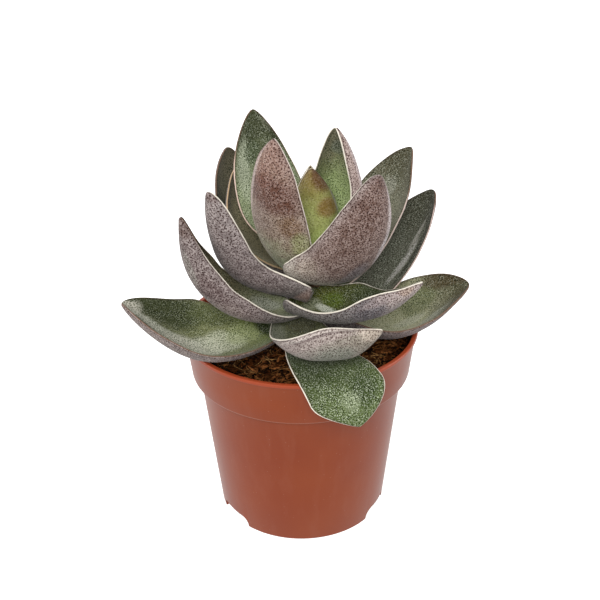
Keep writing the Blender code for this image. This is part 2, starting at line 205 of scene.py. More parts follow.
class Tone:
    """A number, colour or vector in a material's tree: sums and products of them add Math nodes."""

    def __init__(self, tree, socket=None):
        self.tree = tree
        self.socket = socket

    def node(self, kind, settings=None, sockets=None, output=0):
        """Adds one node: its settings are set first, then the values or links of its sockets."""
        made = self.tree.nodes.new(kind)
        for name, value in (settings or {}).items():
            setattr(made, name, value)
        for name, value in (sockets or {}).items():
            if isinstance(value, Tone):
                self.tree.links.new(value.socket, made.inputs[name])
            else:
                made.inputs[name].default_value = value
        return Tone(self.tree, made.outputs[output])

    def maths(self, operation, first, second):
        """One Math node on two numbers or sockets."""
        return self.node("ShaderNodeMath", {"operation": operation}, {0: first, 1: second})

    def __add__(self, other):
        return self.maths("ADD", self, other)

    def __radd__(self, other):
        return self.maths("ADD", other, self)

    def __sub__(self, other):
        return self.maths("SUBTRACT", self, other)

    def __rsub__(self, other):
        return self.maths("SUBTRACT", other, self)

    def __mul__(self, other):
        return self.maths("MULTIPLY", self, other)

    def __rmul__(self, other):
        return self.maths("MULTIPLY", other, self)

    def __truediv__(self, other):
        return self.maths("DIVIDE", self, other)

    def __rtruediv__(self, other):
        return self.maths("DIVIDE", other, self)

    def step(self, low, high):
        """0 up to low, 1 from high, and smooth between; the other way round where low is higher."""
        settings = {"interpolation_type": "SMOOTHSTEP"}
        return self.node("ShaderNodeMapRange", settings, {0: self, 1: low, 2: high})

    def mix(self, blend, share, first, second):
        """The first colour with a share of the second blended in by the rule that blend names."""
        settings = {"data_type": "RGBA", "blend_type": blend}
        return self.node("ShaderNodeMix", settings, {0: share, 6: first, 7: second}, 2)

    def choose(self, first, second):
        """The first colour where this is 0 and the second where it is 1."""
        return self.mix("MIX", self, first, second)

    def stain(self, colour, tint):
        """The colour as it is where this is 0, and multiplied by the tint where it is 1."""
        return self.mix("MULTIPLY", self, colour, tint)

    def shaded(self, amount):
        """This colour with its brightness multiplied by a number."""
        return self.mix("MULTIPLY", 1.0, self, amount)

    def lit(self, light):
        """This colour with some light added."""
        return self.mix("ADD", 1.0, self, light)

    def part(self, axis):
        """One number of this vector or colour: 0, 1 or 2 for its first, second or third."""
        return self.node("ShaderNodeSeparateXYZ", None, {0: self}, axis)

    def own_place(self):
        """The place of each point in the object's own coordinates, in metres."""
        return self.node("ShaderNodeTexCoord", output="Object")

    def layer(self, name, output="Vector"):
        """A value that the mesh carries on its points."""
        return self.node("ShaderNodeAttribute", {"attribute_name": name}, None, output)

    def noise(self, scale, detail=2.0, roughness=0.5):
        """Cloudy noise at this place, mostly between 0.3 and 0.7, with so many features a metre."""
        sockets = {"Vector": self, "Scale": scale, "Detail": detail, "Roughness": roughness}
        return self.node("ShaderNodeTexNoise", None, sockets)

    def cells(self, scale, output="Distance", dimensions="3D"):
        """Cells round scattered points: the distance to the nearest one, or that cell's random colour."""
        sockets = {"Vector": self, "Scale": scale}
        return self.node("ShaderNodeTexVoronoi", {"voronoi_dimensions": dimensions}, sockets, output)

    def grains(self, scale, spread):
        """Flat cells: the distance to the middle of each, and a random share more so that sizes vary."""
        return self.cells(scale, dimensions="2D") + self.cells(scale, "Color", "2D").part(0) * spread

    def bump(self, height, strength, distance):
        """The surface's normal as if it stood up by height times so many millimetres."""
        sockets = {"Height": height, "Strength": strength, "Distance": distance * MM}
        return self.node("ShaderNodeBump", None, sockets, "Normal")


def paint(red, green, blue):
    """A screen colour of 0 to 255 as the linear colour that a shader takes."""
    share = np.array([red, green, blue]) / 255.0
    linear = np.where(share <= 0.04045, share / 12.92, ((share + 0.055) / 1.055) ** 2.4)
    return (*linear.tolist(), 1.0)


def new_material(name, **sockets):
    """A material whose shader has these fixed values, its shader and the start of its maths."""
    material = bpy.data.materials.new(name)
    material.use_nodes = True
    shader = material.node_tree.nodes["Principled BSDF"]
    for socket, value in sockets.items():
        shader.inputs[socket.replace("_", " ")].default_value = value
    return material, shader, Tone(material.node_tree)


def connect(shader, **sockets):
    """Links each value to the shader's socket of that name."""
    for socket, tone in sockets.items():
        tone.tree.links.new(tone.socket, shader.inputs[socket.replace("_", " ")])


def bands(count, around):
    """Faces between each ring of points and the next, as numbers of points."""
    here = np.arange(count * around).reshape(count, around)
    beside = np.roll(here, -1, axis=1)
    return np.stack([here[:-1], beside[:-1], beside[1:], here[1:]], axis=-1).reshape(-1, 4)


def shell(name, rings, first_pole, last_pole):
    """Rings of points joined in order; each ring closes on itself, and a fan closes each end."""
    count, around = rings.shape[:2]
    points = np.concatenate([rings.reshape(-1, 3), [first_pole, last_pole]]) * MM
    here = np.arange(around)
    beside = np.roll(here, -1)
    last_ring = (count - 1) * around
    pole = np.full(around, count * around)
    start = np.stack([pole, beside, here], axis=-1)
    end = np.stack([pole + 1, last_ring + here, last_ring + beside], axis=-1)
    mesh = bpy.data.meshes.new(name)
    mesh.from_pydata(points.tolist(), [], bands(count, around).tolist() + start.tolist() + end.tolist())
    mesh.shade_smooth()
    return mesh


def add_piece(name, mesh, material, slot, *nodes):
    """A finished piece of the plant: it rides on the one body and stands for these nodes."""
    piece = bpy.data.objects.new(name, mesh)
    bpy.context.scene.collection.objects.link(piece)
    mesh.materials.append(material)
    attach(piece, "root")
    if nodes:
        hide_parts(*nodes)
    return piece


def body_radius(height):
    """Outer radius of the body, which widens evenly from the foot up to the collar."""
    share = height / POT_COLLAR_HEIGHT
    return POT_FOOT_RADIUS + (POT_BODY_TOP_RADIUS - POT_FOOT_RADIUS) * share


def collar_radius(height):
    """Outer radius of the collar, which widens evenly from the step up to the lip."""
    share = (height - POT_COLLAR_HEIGHT) / (POT_HEIGHT - POT_LIP_DEPTH - POT_COLLAR_HEIGHT)
    return POT_COLLAR_LOW_RADIUS + (POT_COLLAR_TOP_RADIUS - POT_COLLAR_LOW_RADIUS) * share


def rounded(corners):
    """Each corner (radius, height, fillet) becomes a short curve that starts and ends on its edges."""
    points = [corners[0][:2]]
    for before, corner, after in zip(corners[:-2], corners[1:-1], corners[2:]):
        middle = np.array(corner[:2])
        back = np.array(before[:2]) - middle
        ahead = np.array(after[:2]) - middle
        start = middle + back / np.linalg.norm(back) * corner[2]
        end = middle + ahead / np.linalg.norm(ahead) * corner[2]
        t = np.linspace(0.0, 1.0, CORNER_STEPS)[:, None]
        curve = (1.0 - t) ** 2 * start + 2.0 * t * (1.0 - t) * middle + t**2 * end
        points.extend(curve.tolist())
    points.append(corners[-1][:2])
    return np.array(points)


def turned(profile, steps):
    """A profile of (radius, height) carried round the vertical axis."""
    turn = np.linspace(0.0, 2.0 * np.pi, steps, endpoint=False)
    x = profile[:, :1] * np.cos(turn)
    y = profile[:, :1] * np.sin(turn)
    z = np.broadcast_to(profile[:, 1:], x.shape)
    return np.stack([x, y, z], axis=-1)


def pot_profile():
    """From the middle of the underside, up the outside, over the lip and down the inside."""
    lip_low = POT_HEIGHT - POT_LIP_DEPTH
    step = POT_COLLAR_HEIGHT
    inner_step = step + POT_WALL
    wall = POT_WALL
    return rounded([
        (POLE_RADIUS, 0.0, 0.0),
        (POT_FOOT_RADIUS, 0.0, 0.6),
        *((body_radius(height), height, CORNER) for height in BODY_RINGS),
        (body_radius(step - 0.2), step - 0.2, CORNER),
        (collar_radius(step), step, 0.6),
        (collar_radius(COLLAR_RING), COLLAR_RING, CORNER),
        (collar_radius(lip_low) + 0.05, lip_low, LIP_CORNER),
        (POT_LIP_RADIUS, lip_low + 0.1, LIP_CORNER),
        (POT_LIP_RADIUS, POT_HEIGHT, 0.45),
        (collar_radius(POT_HEIGHT) - wall + 0.1, POT_HEIGHT, LIP_CORNER),
        (collar_radius(COLLAR_RING) - wall, COLLAR_RING, CORNER),
        (collar_radius(inner_step + 0.4) - wall, inner_step + 0.4, 0.6),
        (body_radius(inner_step - 0.8) - wall, inner_step - 0.8, 0.6),
        (body_radius(INNER_RING) - wall, INNER_RING, CORNER),
        (body_radius(POT_FLOOR) - wall, POT_FLOOR, 1.0),
        (POLE_RADIUS, POT_FLOOR, 0.0),
    ])


def notch_block(azimuth):
    """A block with rounded upper corners that passes through the wall's foot."""
    quarter = np.radians(np.linspace(0.0, 90.0, NOTCH_STEPS))
    across = NOTCH_HALF_WIDTH - NOTCH_CORNER + NOTCH_CORNER * np.cos(quarter)
    up = NOTCH_HEIGHT - NOTCH_CORNER + NOTCH_CORNER * np.sin(quarter)
    across = np.concatenate([[NOTCH_HALF_WIDTH], across, -across[::-1], [-NOTCH_HALF_WIDTH]])
    up = np.concatenate([[BELOW_FLOOR], up, up[::-1], [BELOW_FLOOR]])
    radius = np.array([NOTCH_INNER_RADIUS, NOTCH_OUTER_RADIUS])[:, None]
    turn = np.radians(azimuth)
    x = radius * np.cos(turn) - across * np.sin(turn)
    y = radius * np.sin(turn) + across * np.cos(turn)
    rings = np.stack([x, y, np.broadcast_to(up, x.shape)], axis=-1)
    return shell("notch", rings, rings[0].mean(axis=0), rings[1].mean(axis=0))


def cut_notches(mesh):
    """The shell less the notch blocks, worked out once so that no modifier stays on the pot."""
    work = bpy.data.objects.new("work", mesh)
    bpy.context.scene.collection.objects.link(work)
    blocks = []
    for azimuth in NOTCH_AZIMUTHS:
        block = bpy.data.objects.new("block", notch_block(azimuth))
        bpy.context.scene.collection.objects.link(block)
        cut = work.modifiers.new("notch", "BOOLEAN")
        cut.operation = "DIFFERENCE"
        cut.solver = "EXACT"
        cut.object = block
        blocks.append(block)
    view = bpy.context.evaluated_depsgraph_get()
    result = bpy.data.meshes.new_from_object(work.evaluated_get(view))
    for spent in (work, *blocks):
        bpy.data.objects.remove(spent, do_unlink=True)
    return result


def pot_plastic():
    """Terracotta plastic: slightly cloudy; redder and brighter at the lip, where light glowing through the
    thin plastic is painted; paler at the collar's edge, a painted highlight.
    """
    material, shader, start = new_material(
        "pot_plastic", IOR=1.5, Specular_IOR_Level=0.25, Coat_Weight=0.4, Coat_Roughness=0.2, Coat_IOR=1.5)
    place = start.own_place()
    height = place.part(2) / MM
    cloud = place.noise(28.0, 3.0)
    flow = place.node("ShaderNodeMapping", None, {"Vector": place, "Scale": (1.0, 1.0, 0.25)})
    streak = flow.noise(240.0, 3.0)
    fleck = place.cells(900.0).step(0.16, 0.06) * place.cells(900.0, "Color").part(0).step(0.86, 0.9)
    # The lip's redder, brighter band is painted light glowing through the thin plastic.
    lip = height.step(POT_HEIGHT - 1.7, POT_HEIGHT - 0.9)
    # A thin band round the collar's lower edge, lightened as a painted highlight where the edge catches
    # the light.
    edge = height.step(POT_COLLAR_HEIGHT - 0.35, POT_COLLAR_HEIGHT + 0.1)
    edge = edge * height.step(POT_COLLAR_HEIGHT + 0.75, POT_COLLAR_HEIGHT + 0.3)
    body = cloud.step(0.3, 0.7).choose(paint(*POT_DARK), paint(*POT_LIGHT))
    body = (streak.step(0.45, 0.75) * 0.25).choose(body, paint(*POT_STREAK))
    body = (edge * 0.5).choose(body, paint(*POT_EDGE_HIGHLIGHT))
    body = (lip * 0.75).choose(body, paint(*POT_LIP_GLOW))
    body = (fleck * 0.25).choose(body, paint(*POT_FLECK))
    grain = place.noise(1500.0, 2.0)
    rough = 0.33 + cloud * 0.06 + grain * 0.06
    connect(shader, Base_Color=body, Roughness=rough, Normal=start.bump(grain + streak * 0.5, 0.08, 0.2))
    return material


pot_rings = turned(pot_profile(), POT_STEPS)
pot_mesh = cut_notches(shell("pot_shell", pot_rings, (0.0, 0.0, 0.0), (0.0, 0.0, POT_FLOOR)))
pot_mesh.name = "pot_shell"
pot_mesh.shade_smooth()
pot_mesh.set_sharp_from_angle(angle=np.radians(SHARP_ANGLE))
pot_mesh.materials.clear()
add_piece("pot_shell", pot_mesh, pot_plastic(), "pot", "pot")


# The soil: a loose mix of bark, coir and roots that fills the pot to just under its rim.
# The ground is one uneven plug, and chips, crumbs and fibres of bark lie on it in every direction.
GAP = 0.3
SOIL_HEIGHT = 69.2
SOIL_TOP_LIMIT = 71.0
SOIL_STEPS = 260
SOIL_RINGS = 60
SOIL_CORNER = 1.2
SOIL_RELIEF = 0.7
SOIL_GRIT = 0.25
WALL_FADE = 2.5
WALL_SINK = 0.9
RIPPLE_WAVES = 40
RIPPLE_LENGTHS = (3.0, 16.0)
RIPPLE_GAIN = 2.2
RIPPLE_SEED = 7
CHIP_COUNT = 2600
CHIP_LENGTHS = (2.0, 7.5)
CHIP_WIDTHS = (0.7, 2.2)
CHIP_DEPTHS = (0.4, 1.2)
CRUMB_COUNT = 3200
CRUMB_SIZES = (0.5, 1.5)
SPLINTER_SPREAD = (0.7, 1.25)
SPLINTER_SIDES = 6
SPLINTER_PLACES = (-1.0, -0.35, 0.4, 1.0)
SPLINTER_GIRTHS = (0.35, 1.0, 0.85, 0.3)
FIBRE_COUNT = 620
FIBRE_LENGTHS = (4.0, 15.0)
FIBRE_RADII = (0.07, 0.2)
FIBRE_CURL = 1.6
FIBRE_SWAY = 0.4
FIBRE_ARCHES = (0.1, 1.1)
FIBRE_LIFT = 0.5
FIBRE_MARGIN = 5.0
FIBRE_RINGS = 9
FIBRE_SIDES = 5
CHIP_BROWNS = ((22, 9, 3), (82, 42, 16), (156, 100, 56))
CRUMB_BROWNS = ((16, 7, 2), (66, 34, 13), (128, 82, 44))
COIR_BROWNS = ((70, 40, 18), (128, 84, 44), (182, 138, 86))
# The ground's near-black is painted shade in its hollows.
GROUND_HOLLOW_SHADE = (6, 2, 1)
GROUND_BROWN = (48, 25, 9)
GROUND_GRAIN = (108, 66, 32)
STEM_X = 4.5
STEM_Y = -1.0
STEM_RADIUS = 5.6
chance = np.random.default_rng(seed=41)


def ripple(x, y):
    """A sum of sine waves of random direction and length, nearly always between -1 and 1."""
    draw = np.random.default_rng(RIPPLE_SEED)
    length = draw.uniform(*RIPPLE_LENGTHS, RIPPLE_WAVES)
    turn = draw.uniform(0.0, 2.0 * np.pi, RIPPLE_WAVES)
    phase = draw.uniform(0.0, 2.0 * np.pi, RIPPLE_WAVES)
    weight = np.sqrt(length)
    travel = x[..., None] * np.cos(turn) + y[..., None] * np.sin(turn)
    height = np.sin(2.0 * np.pi * travel / length + phase) * weight
    return height.sum(axis=-1) / weight.sum() * RIPPLE_GAIN


def soil_ground():
    """A plug whose top is lifted by the ripple and by grit, and sinks a little towards the wall."""
    inner_step = POT_COLLAR_HEIGHT + POT_WALL
    floor = POT_FLOOR + GAP
    clear = POT_WALL + GAP
    side = np.array([
        (POLE_RADIUS, floor),
        (body_radius(floor) - clear - SOIL_CORNER, floor),
        (body_radius(floor + SOIL_CORNER) - clear, floor + SOIL_CORNER),
        (body_radius(INNER_RING) - clear, INNER_RING),
        (body_radius(inner_step - 3.0) - clear, inner_step - 3.0),
        (body_radius(inner_step - 3.0) - clear - 0.2, inner_step),
        (collar_radius(inner_step + 1.6) - clear, inner_step + 1.6),
    ])
    outer = collar_radius(SOIL_HEIGHT) - clear
    radius = outer * (1.0 - np.linspace(0.0, 0.97, SOIL_RINGS)) ** 0.8
    top = np.stack([radius, np.full(SOIL_RINGS, SOIL_HEIGHT)], axis=-1)
    rings = turned(np.concatenate([side, top]), SOIL_STEPS)
    lid = rings[len(side):]
    inside = np.clip((outer - radius) / WALL_FADE, 0.0, 1.0)[:, None]
    lid[..., 2] += SOIL_RELIEF * ripple(lid[..., 0], lid[..., 1]) * inside - WALL_SINK * (1.0 - inside)
    lid[..., 2] += SOIL_GRIT * chance.standard_normal(lid.shape[:2]) * inside
    return shell("soil_ground", rings, (0.0, 0.0, floor), (0.0, 0.0, lid[-1, :, 2].mean()))


def turned_about(axis, angles):
    """Matrices for turns about one axis: the other two axes mix by the cosine and the sine."""
    first, second = (axis + 1) % 3, (axis + 2) % 3
    matrices = np.zeros((len(angles), 3, 3))
    matrices[:, axis, axis] = 1.0
    matrices[:, first, first] = matrices[:, second, second] = np.cos(angles)
    matrices[:, second, first] = np.sin(angles)
    matrices[:, first, second] = -np.sin(angles)
    return matrices


def random_turns(count, tilt):
    """A free turn about the vertical after tilts of at most so many degrees about the others."""
    yaw = chance.uniform(0.0, 2.0 * np.pi, count)
    lean = np.radians(chance.uniform(-tilt, tilt, (2, count)))
    return turned_about(2, yaw) @ turned_about(1, lean[0]) @ turned_about(0, lean[1])


def soil_spots(count, margin):
    """Places spread evenly over the soil, clear of the wall and of the stem, and their heights."""
    outer = collar_radius(SOIL_HEIGHT) - POT_WALL - GAP - margin
    radius = outer * np.sqrt(chance.uniform(0.0, 1.0, count * 2))
    turn = chance.uniform(0.0, 2.0 * np.pi, count * 2)
    x, y = radius * np.cos(turn), radius * np.sin(turn)
    free = np.hypot(x - STEM_X, y - STEM_Y) > STEM_RADIUS + margin
    x, y = x[free][:count], y[free][:count]
    return x, y, SOIL_HEIGHT + SOIL_RELIEF * ripple(x, y)


def loose_bits(name, points):
    """Closed bits in one mesh, from points[bit, ring, corner], each with a random shade of its own."""
    count, rings, sides = points.shape[:3]
    ring = np.arange(sides)
    caps = np.stack([ring[::-1], ring + (rings - 1) * sides])
    first = rings * sides * np.arange(count)[:, None, None]
    walls = (bands(rings, sides) + first).reshape(-1, 4)
    caps = (caps + first).reshape(-1, sides)
    mesh = bpy.data.meshes.new(name)
    mesh.from_pydata((points.reshape(-1, 3) * MM).tolist(), [], walls.tolist() + caps.tolist())
    shade = mesh.attributes.new("shade", "FLOAT", "POINT")
    shade.data.foreach_set("value", np.repeat(chance.uniform(0.0, 1.0, count), rings * sides))
    return mesh


def splinters(name, sizes, tilt, margin, lift):
    """Six-sided prisms with uneven ends, stretched to each size, turned and laid on the soil."""
    corner = np.linspace(0.0, 2.0 * np.pi, SPLINTER_SIDES, endpoint=False)
    ring = np.stack([np.zeros(SPLINTER_SIDES), np.cos(corner), np.sin(corner)], axis=-1)
    shape = ring * np.array(SPLINTER_GIRTHS)[:, None, None]
    shape[..., 0] += np.array(SPLINTER_PLACES)[:, None]
    points = shape.reshape(1, -1, 3) * (0.5 * sizes[:, None])
    points = points * chance.uniform(*SPLINTER_SPREAD, points.shape)
    points = np.einsum("nij,npj->npi", random_turns(len(sizes), tilt), points)
    x, y, z = soil_spots(len(sizes), margin)
    points += np.stack([x, y, z + lift], axis=-1)[:, None]
    over = points[..., 2].max(axis=1) - SOIL_TOP_LIMIT
    points[..., 2] -= np.clip(over, 0.0, None)[:, None]
    return loose_bits(name, points.reshape(-1, *shape.shape))


def soil_fibres(name):
    """Thin tubes along a bent path: each lies flat, arches a little and curls by a random amount."""
    length = chance.uniform(*FIBRE_LENGTHS, FIBRE_COUNT)
    thick = chance.uniform(*FIBRE_RADII, FIBRE_COUNT)
    curl = chance.uniform(-FIBRE_CURL, FIBRE_CURL, FIBRE_COUNT)
    x, y, _ = soil_spots(FIBRE_COUNT, FIBRE_MARGIN)
    yaw = chance.uniform(0.0, 2.0 * np.pi, FIBRE_COUNT)[:, None]
    t = np.linspace(-0.5, 0.5, FIBRE_RINGS)
    heading = yaw + curl[:, None] * t * 2.0 + FIBRE_SWAY * np.sin(9.0 * t + yaw)
    stride = length[:, None] / (FIBRE_RINGS - 1)
    px = np.cumsum(np.cos(heading) * stride, axis=1)
    py = np.cumsum(np.sin(heading) * stride, axis=1)
    px += (x - px.mean(axis=1))[:, None]
    py += (y - py.mean(axis=1))[:, None]
    limit = collar_radius(SOIL_HEIGHT) - POT_WALL - 1.2
    past = np.maximum(np.hypot(px, py) / limit, 1.0)
    px, py = px / past, py / past
    arch = chance.uniform(*FIBRE_ARCHES, FIBRE_COUNT)[:, None] * np.cos(np.pi * t) ** 2
    pz = SOIL_HEIGHT + SOIL_RELIEF * ripple(px, py) + FIBRE_LIFT + arch
    path = np.stack([px, py, np.minimum(pz, SOIL_TOP_LIMIT - 0.2)], axis=-1)
    side = np.stack([-np.sin(heading), np.cos(heading), np.zeros_like(heading)], axis=-1)
    down = np.array([0.0, 0.0, -1.0])
    turn = np.linspace(0.0, 2.0 * np.pi, FIBRE_SIDES, endpoint=False)[:, None]
    section = side[:, :, None] * np.cos(turn) + down * np.sin(turn)
    taper = np.clip(1.15 - 2.0 * np.abs(t), 0.15, 1.0) * thick[:, None]
    mesh = loose_bits(name, path[:, :, None] + section * taper[..., None, None])
    mesh.shade_smooth()
    return mesh


def bark(name, browns, grain_scale):
    """Bark and coir: each chip has its own brown, with a fibrous grain and a rough, dry surface."""
    material, shader, start = new_material(name, Roughness=0.85, Specular_IOR_Level=0.12)
    dark, middle, light = [paint(*brown) for brown in browns]
    shade = start.layer("shade", "Fac")
    grain = start.own_place().noise(grain_scale, 4.0, 0.65)
    colour = shade.step(0.1, 0.55).choose(dark, middle)
    colour = shade.step(0.6, 0.98).choose(colour, light)
    colour = colour.shaded(0.18 + grain.step(0.3, 0.7) * 0.85)
    connect(shader, Base_Color=colour, Normal=start.bump(grain, 0.6, 0.4))
    return material


def ground_crumb():
    """Fine dark crumb with lighter grains, blacker in its hollows as painted shade."""
    material, shader, start = new_material("soil_ground", Roughness=0.95, Specular_IOR_Level=0.06)
    place = start.own_place()
    coarse = place.noise(500.0, 4.0, 0.7)
    grain = place.cells(1300.0)
    # Painted shade: the near-black goes where the coarse noise also sinks the bump into hollows.
    colour = coarse.step(0.42, 0.66).choose(paint(*GROUND_HOLLOW_SHADE), paint(*GROUND_BROWN))
    colour = (grain.step(0.25, 0.05) * 0.5).choose(colour, paint(*GROUND_GRAIN))
    connect(shader, Base_Color=colour, Normal=start.bump(coarse + grain * 0.4, 0.9, 0.8))
    return material


chip_ranges = (CHIP_LENGTHS, CHIP_WIDTHS, CHIP_DEPTHS)
chip_sizes = np.stack([chance.uniform(*span, CHIP_COUNT) for span in chip_ranges], axis=-1)
crumb_sizes = chance.uniform(*CRUMB_SIZES, (CRUMB_COUNT, 3))
chip_bark = bark("bark_chip", CHIP_BROWNS, grain_scale=900.0)
crumb_bark = bark("bark_crumb", CRUMB_BROWNS, grain_scale=1600.0)
coir = bark("coir", COIR_BROWNS, grain_scale=1400.0)
add_piece("soil_ground", soil_ground(), ground_crumb(), "soil", "soil")
chips = splinters("bark_chips", chip_sizes, tilt=28.0, margin=3.0, lift=0.15)
add_piece("bark_chips", chips, chip_bark, "soil")
crumbs = splinters("bark_crumbs", crumb_sizes, tilt=90.0, margin=1.2, lift=0.2)
add_piece("bark_crumbs", crumbs, crumb_bark, "soil")
add_piece("coir_fibres", soil_fibres("coir_fibres"), coir, "soil")


# The stem: short, woody at its foot and pinkish brown where it is young, ringed by leaf scars.
# Only glimpses of it show between the leaf bases, and its foot stands in the soil.
STEM_FOOT = 58.0
STEM_TOP = 104.5
STEM_NECK_HEIGHT = 93.0
STEM_NECK_RADIUS = 3.1
STEM_INSET = 0.15
STEM_RINGS = 120
STEM_STEPS = 64
DOME_HEIGHT = 1.5
SCAR_SPACING = 4.6
SCAR_RELIEF = 0.14
RIB_COUNT = 7
RIB_RELIEF = 0.05
RELIEF_SINK = 0.12
CORK_FADE = (72.0, 84.0)
GREEN_FADE = (92.0, 101.0)
STEM_CORK = (84, 60, 40)
STEM_BROWN = (114, 90, 66)
STEM_GREEN = (132, 140, 84)
STEM_SCAB = (86, 58, 46)


def stem_rings():
    """A tapering column: rings of low scars, faint twisted ribs and a domed top."""
    height = np.linspace(STEM_FOOT, STEM_TOP, STEM_RINGS)[:, None]
    taper = np.clip((height - STEM_NECK_HEIGHT) / (STEM_TOP - STEM_NECK_HEIGHT), 0.0, 1.0)
    radius = STEM_RADIUS + (STEM_NECK_RADIUS - STEM_RADIUS) * taper - STEM_INSET
    dome = np.clip((height - STEM_TOP + DOME_HEIGHT) / DOME_HEIGHT, 0.0, 1.0)
    radius = radius * np.sqrt(np.maximum(1.0 - dome**2, 0.02))
    turn = np.linspace(0.0, 2.0 * np.pi, STEM_STEPS, endpoint=False)
    wave = np.sin(2.0 * np.pi * height / SCAR_SPACING + 0.9 * np.cos(2.0 * turn))
    ribs = np.sin(RIB_COUNT * turn + 0.7 * height)
    relief = SCAR_RELIEF * np.clip(wave, 0.3, 1.0) + RIB_RELIEF * ribs - RELIEF_SINK
    reach = radius + relief * (1.0 - dome)
    x = STEM_X + reach * np.cos(turn)
    y = STEM_Y + reach * np.sin(turn)
    return np.stack([x, y, np.broadcast_to(height, x.shape)], axis=-1)


def stem_bark():
    """Pinkish brown skin, browner and corky low down, green where the newest leaves join."""
    material, shader, start = new_material("stem_bark", Roughness=0.6)
    place = start.own_place()
    height = place.part(2) / MM
    grain = place.noise(900.0, 4.0, 0.6)
    cork = place.noise(260.0, 3.0)
    colour = height.step(*CORK_FADE).choose(paint(*STEM_CORK), paint(*STEM_BROWN))
    colour = height.step(*GREEN_FADE).choose(colour, paint(*STEM_GREEN))
    colour = (cork.step(0.5, 0.7) * 0.5).choose(colour, paint(*STEM_SCAB))
    colour = colour.shaded(0.7 + grain * 0.6)
    connect(shader, Base_Color=colour, Normal=start.bump(grain + cork, 0.5, 0.5))
    return material


column = stem_rings()
column_mesh = shell("stem_column", column, (STEM_X, STEM_Y, STEM_FOOT), (STEM_X, STEM_Y, STEM_TOP))
add_piece("stem_column", column_mesh, stem_bark(), "stem", "stem")


# The leaves: thick, cupped blades full of water, each grown as one piece from the stem.
# Their skin is velvety with tiny pale papillae, and dark red dots crowd on the under side.
# A thin pale or brown line runs along the margin, and the colour changes from base to tip.
LEAF_MARGIN = 0.8
SHELL_RINGS = 96
RING_CROWDING = 1.35
EDGE_ROUND = 1.0
EDGE_STEPS = (0.0, 0.03, 0.1, 0.24, 0.45, 0.72, 1.0, 1.5)
INNER_LANES = 10
NARROW_HALF_WIDTH = 3.0
TIP_CLOSE = 0.8
HEEL_STEPS = ((2.8, 0.55), (1.9, 0.8), (0.9, 0.95))
HEEL_END = 3.2
BASE_CORNER = 2.5
BASE_CORNER_SHARE = 0.35
EAR_TUCK = 0.35
FLESH_LENGTH = 9.0
FLESH_DEPTH = 1.6
WAVE_START = 0.35
WAVE_GROWTH = 0.3
WAVY_HALF_WIDTH = 6.0


@dataclass
class Leaf:
    """One leaf: where it starts and ends, how its midrib bends and how its blade is shaped.

    A pair holds the value at the stem and the value at the tip.
    """
    name: str
    azimuth: float            # of its base, round the stem
    height: float             # of its upper face at the stem
    tip_azimuth: float
    reach: float              # from the stem's axis to the tip
    rise: float               # height of the tip
    leave: float              # slope of the midrib at the stem
    arrive: float             # slope of the midrib at the tip
    width: float
    cup: float                # half of the section's arc, at mid-length
    toward: tuple = None      # pair: compass directions of the midrib, if not straight outward
    pull: tuple = (0.38, 0.38)    # pair: shares of the length over which these slopes hold
    start: float = 6.0        # from the stem's axis to the base
    base: float = 0.45        # base width over full width
    ear: float = 0.0          # extra base width over full width: clockwise side, or other if minus
    lobe: float = 0.6         # under 1: the blade widens quickly above its base
    widest: float = 0.4       # where along the leaf it is widest
    blunt: float = 1.0        # under 1: a blunter tip
    cup_base: float = 45.0
    roll: tuple = (0.0, 0.0)      # pair: turn about the midrib
    thick: float = 3.0


